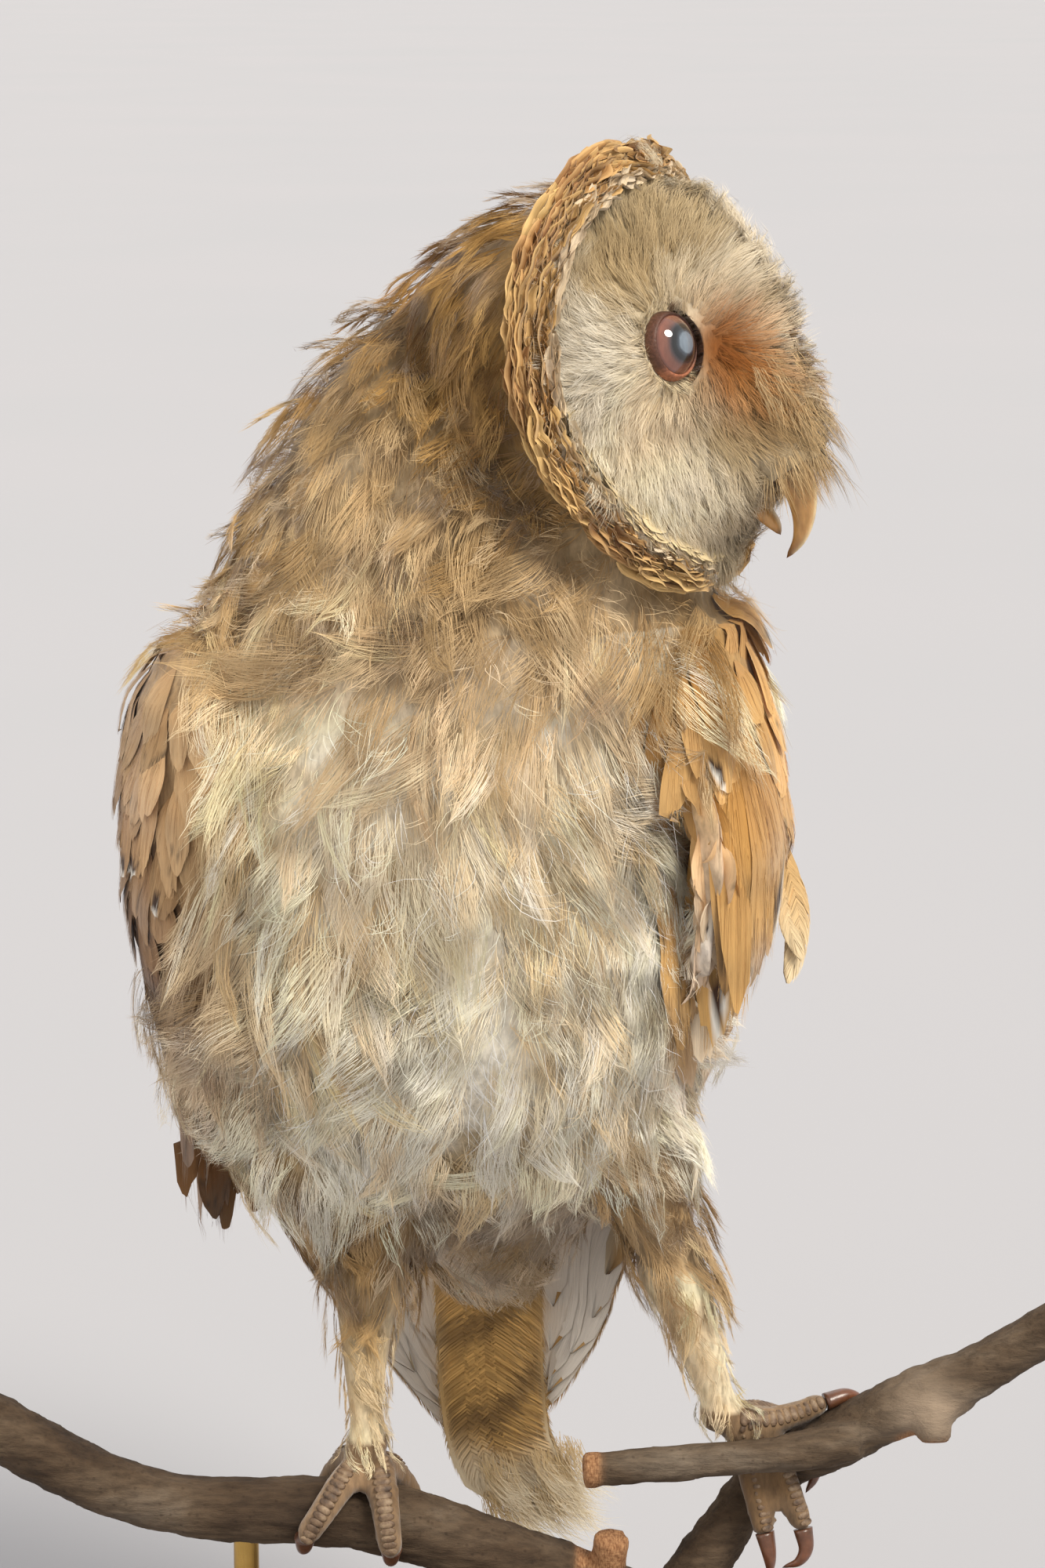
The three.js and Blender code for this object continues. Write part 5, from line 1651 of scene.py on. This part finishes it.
def vanes(name, shafts, outs, half, seed, colours, paint, node, barbs=110, width=0.55, sweep=0.09,
          rounding=5, both=False, pale_under=0.0):
    """Stiff feathers: a thin solid blade for each, under fine barbs."""
    count, steps = len(shafts), shafts.shape[1] - 1
    half = np.broadcast_to(half, (count,))
    coat = Coat(name)
    for turn in (1, -1) if both else (1,):
        barbs_beside(coat, shafts, outs * turn, half, barbs, seed, colours, paint, width, sweep,
                     0.18 * turn, rounding)
    t = np.linspace(0, 1, steps + 1)[None]
    across = unit(np.cross(unit(np.gradient(shafts, axis=1)), outs))
    blade = half[:, None] * np.minimum(1, 0.5 + 2.5 * t) * (1 - t ** rounding) ** 0.5 * 0.92 + 0.0002
    s = np.array((-1, -0.5, 0, 0.5, 1))
    cup = -0.18 * half[:, None, None] * s ** 2 - 0.00025
    top_face = (shafts[:, :, None] + across[:, :, None] * (blade[..., None] * s)[..., None]
                + outs[:, :, None] * cup[..., None])
    under = top_face - outs[:, :, None] * 0.0004
    loop = np.concatenate((top_face, under[:, :, ::-1]), 2)
    sides, tris = loop.shape[2], []
    for a, d, c, b in side_faces(steps + 1, sides):
        tris += [(a, c, b), (a, d, c)]
    for end, flip in ((0, -1), (steps * sides, 1)):
        for j in range(1, sides - 1):
            tris.append((end, end + j, end + j + 1)[::flip])
    tris = np.array(tris)[None] + (np.arange(count) * (steps + 1) * sides)[:, None, None]
    shade = np.concatenate((outs[:, :, None].repeat(5, 2), -outs[:, :, None].repeat(5, 2)), 2)
    low, high = low_and_high(colours, count)
    beside = np.concatenate((s, s[::-1]))
    share = np.broadcast_to(t[..., None], loop.shape[:3])
    colour = low + (high - low) * ease(share, 0.15, 0.95)[..., None]
    colour = paint(np.array(colour), share, np.broadcast_to(beside, share.shape),
                   np.arange(count)[:, None, None])
    spots = patch_spots(body_spot(shafts[:, 0])[:, None, None], 0.45 * beside, share)
    lit_under = pale_under * (np.arange(count) > 0)[:, None, None, None]
    colour[:, :, 5:] += lit_under * (rgb(246, 238, 226) - colour[:, :, 5:])
    grain = np.stack((6 * np.broadcast_to(beside, share.shape) + 30, 60 * share), -1)
    coat.keep(loop, shade, colour * 0.95, spots, grain, tris)
    coat.build(DOWN, "wing_plumage", node)


def flight_feathers(word, count, seed, colours, paint):
    """Long vanes side by side on the folded wing's sheet."""
    sign, rows = WING_ROWS[word]
    line = spline(rows, 6)
    line = line[np.argsort(-line[:, 0])]
    dice = new_dice(seed)
    lowest = rows[-1][0]
    share = (np.arange(count) + 0.5) / count
    top = 205 - 12 * share
    foot = lowest + 3 + 62 * np.abs(share - 0.55) ** 1.5 * 2 + dice.uniform(0, 5, count)
    t = np.linspace(0, 1, 15)[None]
    z = top[:, None] + (foot - top)[:, None] * t
    lane = 0.5 + (share[:, None] - 0.5) * (0.96 - 0.35 * t)
    proud = -1.6 + 1.3 * (1 - np.abs(share - 0.5)[:, None]) - 0.9 * t
    proud = proud + 0.35 * dice.uniform(-1, 1, (count, 1))
    shafts = sheet_point(line, sign, z, lane, proud)
    beside = sheet_point(line, sign, z, lane + 0.02, proud)
    outs = unit(np.cross(np.gradient(shafts, axis=1), beside - shafts))
    away = (shafts - np.array((-15, 20, 0)) * MM) * np.array((1, 1, 0))
    outs *= np.where((outs * away).sum(-1, keepdims=True) < 0, -1, 1)
    vanes("flight_feathers_" + word, shafts, outs, 7.4 * MM, seed + 1, colours, paint,
          "wing_%s_primaries" % word, both=True, pale_under=0.95)


def barred(seed, pale_side):
    """A painter for flight feathers: faint dark bars, and a pale inner half."""
    dice = new_dice(seed)
    shift = dice.uniform(0, 1, 64)

    def paint(shade, share, beside, index):
        band = np.sin((share * 5.2 + shift[index]) * 2 * np.pi)
        dark = ease(band, 0.35, 0.9) * 0.55
        speck = dice.normal(0, 1, np.shape(share)) * 0.12
        colour = shade * (1 + speck)[..., None]
        colour = colour + dark[..., None] * (BROWN - colour)
        inner = ease(beside * pale_side, 0.1, 0.8)[..., None]
        return colour + inner * 0.75 * (rgb(214, 200, 172) - colour)
    return paint


# the right wing's flight feathers are darker than the left's: painted shade on the side turned from the key
# light
flight_feathers("right", 10, 121, (rgb(150, 108, 58), rgb(190, 150, 96)), barred(122, 1))
flight_feathers("left", 10, 131, (rgb(176, 128, 68), rgb(206, 164, 104)), barred(132, -1))

# %% [markdown]
# ## Tail and loose feathers
# The tail hangs behind the perch as a narrow stack of stiff feathers, olive brown in the
# middle, with a pale tip that has curled to one side. It is two layers of blades, one behind the
# other, whose lanes fan out as they go down.

# %% Tail
TAIL_ROWS = spline([(172, -12, 42, 17, 7), (150, -10, 49, 15, 5.5), (132, -9, 54, 13.5, 4.4),
                    (112, -8.5, 58.5, 12, 3.8), (90, -8, 63.5, 11, 3.4), (70, -6, 67, 11.5, 3),
                    (58, -1, 70, 14, 2.8), (51, 4, 72, 14, 2.4), (46, 9, 74, 12, 1.8)], 6)


def tail_layer(count, front, seed, high, low_end):
    """Shafts side by side between two heights (mm); front is -1 for the layer toward the breast."""
    dice = new_dice(seed)
    steps = np.linspace(0, 1, 17)
    lanes = np.linspace(-0.72, 0.72, count)
    shafts = np.empty((count, 17, 3))
    for i, lane in enumerate(lanes):
        reach = low_end + 5 * lane ** 2 + dice.uniform(-2, 2)
        rows = [high + (reach - high) * t for t in steps]
        order = TAIL_ROWS[::-1]
        cx, cy, a, b = (np.interp(rows, order[:, 0], order[:, k]) for k in range(1, 5))
        fan = lane * a * (0.55 + 0.45 * steps)
        deep = front * b * (0.75 - 0.35 * abs(lane)) * (1 - 0.3 * steps)
        shafts[i] = np.stack((cx + fan, cy + deep + 0.2 * i, rows), -1) * MM
    way = np.gradient(shafts, axis=1)
    outs = unit(np.cross(np.array((1.0, 0, 0)), way))
    outs *= np.where(outs[..., 1:2] * front < 0, -1, 1)
    return shafts, outs


def tail_paint(shade, share, beside, index):
    dice = new_dice(7)
    band = ease(np.sin(share * 26 + index * 0.7), 0.2, 0.9)
    band = band * ease(share, 0.1, 0.3) * (1 - ease(share, 0.75, 0.9))
    colour = shade * (1 + 0.14 * dice.normal(0, 1, np.shape(share)))[..., None]
    colour = colour + 0.6 * band[..., None] * (DARK * 1.6 - colour)
    edge = ease(np.abs(beside), 0.5, 1.0)[..., None] * 0.4
    colour = colour + edge * (rgb(196, 170, 128) - colour)
    return colour + ease(share, 0.78, 0.93)[..., None] * (rgb(244, 226, 192) - colour)


front_rows, front_outs = tail_layer(6, -1, 141, 160, 47)
back_rows, back_outs = tail_layer(6, 1, 142, 176, 50)
vanes("tail_feathers", np.concatenate((front_rows, back_rows)), np.concatenate((front_outs, back_outs)),
      7.0 * MM, 143, (rgb(220, 174, 104), rgb(190, 150, 88)), tail_paint, "tail", 120, 0.6, 0.08, 7)

# %% [markdown]
# The tail ends in a wisp of pale down that is blown to one side. Its tufts start across the last
# of the tail and take three steps, each turned further sideways.

# %% Pale down at the end of the tail
dice = new_dice(145)
across = dice.uniform(-1, 1, (60, 1))
start = np.c_[2 + 11 * across, 68 + dice.uniform(-3, 3, (60, 1)), 58 + dice.uniform(-6, 12, (60, 1))]
flow = np.array([(0.35, -0.1, -1.0), (0.75, -0.15, -0.7), (1.0, -0.1, -0.35)])
steps = np.cumsum(np.r_[np.zeros((1, 3)), flow * 5.5], 0)
shafts = (start[:, None] + steps[None] * dice.uniform(0.7, 1.25, (60, 1, 1))) * MM
tip_down = Coat("tail_tip_down")
lock_coat(tip_down, shafts, np.broadcast_to(np.array((0.0, -1.0, 0.15)), shafts.shape), 2.4 * MM, 26, 146,
          (rgb(196, 168, 122), rgb(246, 234, 208)), body_spot, width=0.15, gather=0.5, wander=0.3)
tip_down.build(DOWN, "wing_plumage")

# %% [markdown]
# One forked covert has slipped out of the left wing and hangs over its edge. It is two narrow
# blades that share a root.

# %% The slipped covert
covert = spline([(57, 12, 244), (62, 10, 232), (64.5, 8, 222), (64, 7, 213), (62.5, 6, 206)], 3) * MM
fork = spline([(57, 12, 244), (59.5, 9.5, 234), (61.5, 7.5, 226), (62.5, 6, 219), (65.5, 4.5, 212)], 3) * MM
stray_rows = np.stack((covert, fork))
stray_outs = unit(np.broadcast_to(np.array((0.55, -0.8, 0.1)), stray_rows.shape))
vanes("loose_feather", stray_rows, stray_outs, np.array((3.6, 2.6)) * MM, 151,
      (rgb(206, 168, 112), rgb(232, 210, 170)), lambda shade, *_: shade, "loose_coverts",
      60, 0.4, 0.2, 3, True)

# %% [markdown]
# ## Legs
# The thighs wear long soft trousers. Further down the feathers turn short and thin out into
# bristles, and the toes are bare, with a row of plates, the scutes, along their tops.

# %% Thighs and shanks
def down_leg(points):
    """Down the leg; the left one leans out to its foot."""
    p = np.asarray(points) / MM
    left = p[:, 0] > -8
    way = np.zeros_like(p)
    way[:, 2] = -1
    way[:, 0] = np.where(left, 0.40, 0.06)
    way[:, 1] = np.where(p[:, 2] > 120, -0.05, -0.12)
    return way


body_petals(Coat("thigh_feathers"), ["thigh_right", "thigh_left"], 4.4, 161, 18, 3.6, 3.4, 84,
            drift=0.35, size=0.03, lie=down_leg, lift=0.6, paint=painted_lock_light(163, 0.4)).build(DOWN)
body_petals(Coat("shank_feathers"), ["shank_right", "shank_left"], 2.9, 171, 9, 1.7, 1.3, 44, drift=0.3,
            size=0.02, lie=down_leg, lift=0.5, loose=0.5, hair=0.12).build(DOWN)

# %% [markdown]
# ## Scutes
# Scutes are small overlapping plates that repeat along the top of each toe, so Geometry Nodes
# set them: a line along the toe is cut at even steps, a domed plate is placed at each step and
# turned to the line, and the instances are realized so that they become plain mesh.

# %% A node tree that sets plates along lines
def node_tree(name, sockets):
    tree = bpy.data.node_groups.new(name, "GeometryNodeTree")
    tree.interface.new_socket("Geometry", in_out="INPUT", socket_type="NodeSocketGeometry")
    made = {}
    for label, kind, value in sockets:
        socket = tree.interface.new_socket(label, in_out="INPUT", socket_type=kind)
        if value is not None:
            socket.default_value = value
        made[label] = socket.identifier
    tree.interface.new_socket("Geometry", in_out="OUTPUT", socket_type="NodeSocketGeometry")
    return tree, made, tree.nodes.new("NodeGroupInput"), tree.nodes.new("NodeGroupOutput")


def run_nodes(piece, tree, ids, **values):
    grow = piece.modifiers.new("grow", "NODES")
    grow.node_group = tree
    for label, value in values.items():
        grow[ids[label]] = value
    return applied(piece)


plate_tree, plate_ids, given, result = node_tree("scutes", [
    ("Step", "NodeSocketFloat", 0.0016), ("Size", "NodeSocketFloat", 0.0011),
    ("Material", "NodeSocketMaterial", None)])
line_of = add_node(plate_tree, "GeometryNodeMeshToCurve", Mesh=given.outputs["Geometry"])
even = add_node(plate_tree, "GeometryNodeResampleCurve", {"mode": "LENGTH"}, Curve=line_of.outputs["Curve"],
                Length=given.outputs["Step"])
plate = add_node(plate_tree, "GeometryNodeMeshUVSphere", Segments=10, Rings=6, Radius=1.0)
squash = add_node(plate_tree, "GeometryNodeTransform", Geometry=plate.outputs["Mesh"],
                  Scale=(0.85, 1.5, 0.42))
top = add_node(plate_tree, "GeometryNodeInputNamedAttribute", {"data_type": "FLOAT_VECTOR"}, Name="top")
wide = add_node(plate_tree, "GeometryNodeInputNamedAttribute", {"data_type": "FLOAT"}, Name="wide")
way = add_node(plate_tree, "GeometryNodeInputTangent")
turn_a = add_node(plate_tree, "FunctionNodeAlignRotationToVector", {"axis": "Z"},
                  Vector=top.outputs["Attribute"])
turn_b = add_node(plate_tree, "FunctionNodeAlignRotationToVector", {"axis": "X", "pivot_axis": "Z"},
                  Rotation=turn_a.outputs["Rotation"], Vector=way.outputs["Tangent"])
grown = add_node(plate_tree, "ShaderNodeMath", {"operation": "MULTIPLY"})
plate_tree.links.new(given.outputs["Size"], grown.inputs[0])
plate_tree.links.new(wide.outputs["Attribute"], grown.inputs[1])
setter = add_node(plate_tree, "GeometryNodeInstanceOnPoints", Points=even.outputs["Curve"],
                  Instance=squash.outputs["Geometry"], Rotation=turn_b.outputs["Rotation"],
                  Scale=grown.outputs[0])
real = add_node(plate_tree, "GeometryNodeRealizeInstances", Geometry=setter.outputs["Instances"])
dressed = add_node(plate_tree, "GeometryNodeSetMaterial", Geometry=real.outputs["Geometry"],
                   Material=given.outputs["Material"])
plate_tree.links.new(dressed.outputs["Geometry"], result.inputs["Geometry"])

# %% [markdown]
# Each toe gets a line a little above its middle, with the radius of the toe kept on it, so plates
# are smaller toward the claw. The first four toes wrap round the limb. The others lie on the stub.

# %% Toe lines and their plates
TOES = [  # x, y, z and radius (mm)
    wrapped(-38.5, -51, 8, 100, 4.2, 3.1), wrapped(-34, -31, 8, 100, 4.3, 3.2),
    wrapped(-39, -49, -6, -100, 4, 3), wrapped(-34, -25, -6, -96, 3.9, 2.9),
    [(52, 2, 99.5, 4), (59, 3.2, 99, 3.6), (66, 5, 100.5, 3.2), (71, 6, 102.5, 2.9)],
    [(51, 2, 99, 4.2), (53.5, 3.2, 92, 3.8), (55, 2.6, 85, 3.5), (56.5, 1, 78, 3.1),
     (57.5, -0.5, 73.5, 2.9)],
    [(53, 2, 99, 4), (58.5, 3.2, 92.5, 3.7), (62.5, 2.4, 85.5, 3.4), (65, 0.5, 79, 3.1),
     (66.5, -0.5, 75, 2.9)],
    [(52, 4, 100, 4), (57, 10, 98, 3.7), (64, 16, 93.5, 3.4), (69, 18, 88, 3)],
]


def toe_finish():
    material, tree, shader = new_finish("toe_scale", 0.55, Specular_IOR_Level=0.4)
    shade, fine = noise_on_object(tree, 420, 4.0), noise_on_object(tree, 2600, 3.0)
    colour = ramp(tree, shade, (0.3, tone(66, 50, 38)), (0.5, tone(108, 86, 66)),
                  (0.72, tone(152, 130, 104)))
    finished(tree, shader, colour, fine, 0.5, 0.0003)
    return material


TOE_SCALE = toe_finish()
points, edges, tops, wides = [], [], [], []
for index, rows in enumerate(TOES):
    line = spline(rows, 6)
    way = unit(np.gradient(line[:, :3], axis=0))
    if index < 4:
        axis = np.stack([np.interp(line[:, 0], LIMB_LINE[:, 0], LIMB_LINE[:, i]) for i in (1, 2)], -1)
        away = np.c_[np.zeros(len(line)), line[:, 1] - axis[:, 0], line[:, 2] - axis[:, 1]]
    else:
        away = np.broadcast_to(np.array((0.35, -0.75, 0.6) if index != 7 else (0.6, 0.2, 0.8)), way.shape)
    away = along(away, way)
    base = len(points)
    points += list((line[:, :3] + away * line[:, 3:] * 0.80) * MM)
    edges += [(base + i, base + i + 1) for i in range(len(line) - 1)]
    tops += list(away)
    wides += list(line[:, 3] / 3.6)
mesh = bpy.data.meshes.new("toe_scutes")
mesh.from_pydata([tuple(p) for p in points], edges, [])
mesh.attributes.new("top", "FLOAT_VECTOR", "POINT").data.foreach_set("vector", np.array(tops).ravel())
float_layer(mesh, "wide", wides)
scutes = run_nodes(linked("toe_scutes", mesh), plate_tree, plate_ids, Step=0.0017, Size=0.00135,
                   Material=TOE_SCALE)
scutes.data.shade_smooth()
dress(scutes, "toe_skin")
print("scutes:", len(scutes.data.polygons), "faces")

# %% [markdown]
# ## The perch
# The perch is a cut forked branch: thin grey-brown bark with fine cracks along the grain, small
# dark lenticels, and fresh orange-brown wood where it was sawn. The solids are remeshed to one
# form, then each point moves a little along its normal, in long waves that follow the branch.

# %% Bark form
BRANCH = ["perch_limb", "perch_fork", "perch_spur"]
perch = voxel_form("branch", BRANCH, dict.fromkeys(BRANCH, 0.35), 1.15 * MM)
pairs = edges_of(perch.data)
place = relaxed(points_of(perch.data), pairs, 3)
move_points(perch.data, place)
normals = points_of(perch.data, "normal")


def close_to(values, middle, reach):
    return np.abs(values - middle) < reach


x, z = place[:, 0], place[:, 2]
cut_ends = (x < -0.128) | (x > 0.128) | close_to(x, 0.014, 0.005) | close_to(x, 0.032, 0.006)
sawn = (np.abs(normals[:, 0]) > 0.86) & cut_ends
sawn |= (normals[:, 2] < -0.6) & close_to(x, 0.097, 0.008) & (z < 0.1005)
fork_end = (z > 0.075) & close_to(x, 0.015, 0.0035)
stub_end = (z > 0.0645) & (z < 0.078) & close_to(x, 0.021, 0.008)
sawn = np.clip(sawn + fork_end + stub_end, 0, 1)
bark_share = 1 - relaxed(sawn.astype(float), pairs, 2)
grain = waves(place * np.array((1, 3.2, 3.2)), 0.012, 201) * 0.35
grain += waves(place * np.array((1, 2, 2)), 0.004, 202) * 0.16
grain += waves(place, 0.03, 203) * 0.4
knot = np.exp(-(np.linalg.norm(place - np.array((96, -4, 104)) * MM, axis=1) / 0.0075) ** 2)
move_points(perch.data, place + normals * (grain * bark_share * 0.6 * MM)[:, None])
float_layer(perch.data, "sawn", 1 - bark_share)
float_layer(perch.data, "knot", knot)
perch.data.shade_smooth()


def bark_finish():
    material, tree, shader = new_finish("bark", 0.85, Specular_IOR_Level=0.3)
    broad = noise_on_object(tree, 38, 5.0, (0.6, 1.6, 1.6))
    fine = noise_on_object(tree, 420, 6.0, (0.35, 1.5, 1.5), 0.7)
    coords = add_node(tree, "ShaderNodeTexCoord")
    specks = add_node(tree, "ShaderNodeTexVoronoi", {"feature": "F1"}, Vector=coords.outputs["Object"],
                      Scale=420)
    base = ramp(tree, broad, (0.30, tone(42, 31, 23)), (0.46, tone(72, 57, 42)),
                (0.58, tone(90, 75, 59)), (0.75, tone(116, 104, 90)))
    rubbed = mottled(tree, base, fine, 0.85, (0.3, (0.45, 0.42, 0.4, 1)), (0.62, (1.15, 1.12, 1.1, 1)))
    dots = ramp(tree, specks.outputs["Distance"], (0.10, (0.35, 0.3, 0.26, 1)), (0.22, (1, 1, 1, 1)))
    rubbed = blend_colours(tree, rubbed, dots, 0.45, "MULTIPLY")
    rubbed = blend_colours(tree, rubbed, tone(176, 156, 134), stored(tree, "knot"))
    wood = noise_on_object(tree, 900, 3.0, (3.0, 1, 1))
    heart = ramp(tree, wood, (0.3, tone(112, 70, 42)), (0.7, tone(182, 138, 98)))
    finished(tree, shader, blend_colours(tree, rubbed, heart, stored(tree, "sawn")), fine, 0.7, 0.0012)
    return material


perch.data.materials.clear()
perch.data.materials.append(bark_finish())
dress(perch, "bark", "perch_limb", "perch_fork", "perch_spur")
print("branch:", len(perch.data.polygons), "faces")

# %% [markdown]
# ## The display stand
# A plain round foot of dark stained wood and two brass rods hold the branch level. The foot was
# turned on a lathe, so its profile is lathed here too, with soft edges. The rods keep the frame's
# places and get a drawn brass finish.

# %% Stand
def wood_finish():
    material, tree, shader = new_finish("dark_wood", 0.42, Coat_Weight=0.3, Coat_Roughness=0.3)
    grain = noise_on_object(tree, 90, 6.0, (0.25, 3.0, 3.0), 0.6)
    pores = noise_on_object(tree, 900, 3.0, (0.12, 3.0, 3.0))
    base = ramp(tree, grain, (0.3, tone(34, 22, 15)), (0.55, tone(66, 44, 29)),
                (0.75, tone(88, 60, 39)))
    finished(tree, shader, mottled(tree, base, pores, 0.6, (0.35, 0.5), (0.5, 1.0)), pores, 0.15, 0.0004)
    return material


def on_stand(name, centre, profile, sides, finish, slot, node):
    """A lathed piece of the stand; weighted normals keep its flats flat and its edges soft."""
    mesh = lathed(name, np.array(centre) * MM, np.array((0, 0, 1.0)), profile, sides, True)
    mesh.materials.append(finish)
    piece = linked(name, mesh)
    piece.modifiers.new("edge", "WEIGHTED_NORMAL")
    dress(applied(piece), slot, node)


FOOT_RADIUS, FOOT_HEIGHT, EDGE = 84, 16, 2.5
rounded = [(FOOT_RADIUS - EDGE + EDGE * math.cos(a), FOOT_HEIGHT - EDGE + EDGE * math.sin(a))
           for a in np.radians(np.linspace(0, 90, 7))]
profile = [(0.01, 0), (82.5, 0), (83.4, 0.35), (83.8, 1.1), (84, 2), (84, 12.9)] + rounded + [(0.01, 16)]
on_stand("stand_foot", (0.0, 0, 0), profile, 128, wood_finish(), "stand_wood", "stand_base")

# %% [markdown]
# Drawn brass keeps fine lines along its length and dulls in patches. The lines go into roughness
# and bump, the patches into colour. Each rod takes its height from the solid that it replaces.

# %% Brass rods
def brass_finish():
    material, tree, shader = new_finish("drawn_brass", 0.3, Metallic=1.0)
    drawn = noise_on_object(tree, 1400, 3.0, (3, 3, 0.04))
    stain = noise_on_object(tree, 60, 4.0)
    base = ramp(tree, stain, (0.3, tone(150, 118, 62)), (0.7, tone(196, 160, 92)))
    polish = ramp(tree, drawn, (0.3, (0.22, 0.22, 0.22, 1)), (0.7, (0.42, 0.42, 0.42, 1)))
    tree.links.new(polish, shader.inputs["Roughness"])
    finished(tree, shader, base, drawn, 0.12, 0.0002)
    return material


BRASS = brass_finish()
for node, (x, y) in {"stand_rod_right": (-66, 0), "stand_rod_left": (27, 5)}.items():
    low, high = (corner.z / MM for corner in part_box(node))
    profile = [(0.01, low), (3, low), (3, high - 0.4), (2.6, high), (0.01, high)]
    on_stand(node + "_brass", (x, y, 0), profile, 40, BRASS, "rod_brass", node)
print("stand: foot and two rods")
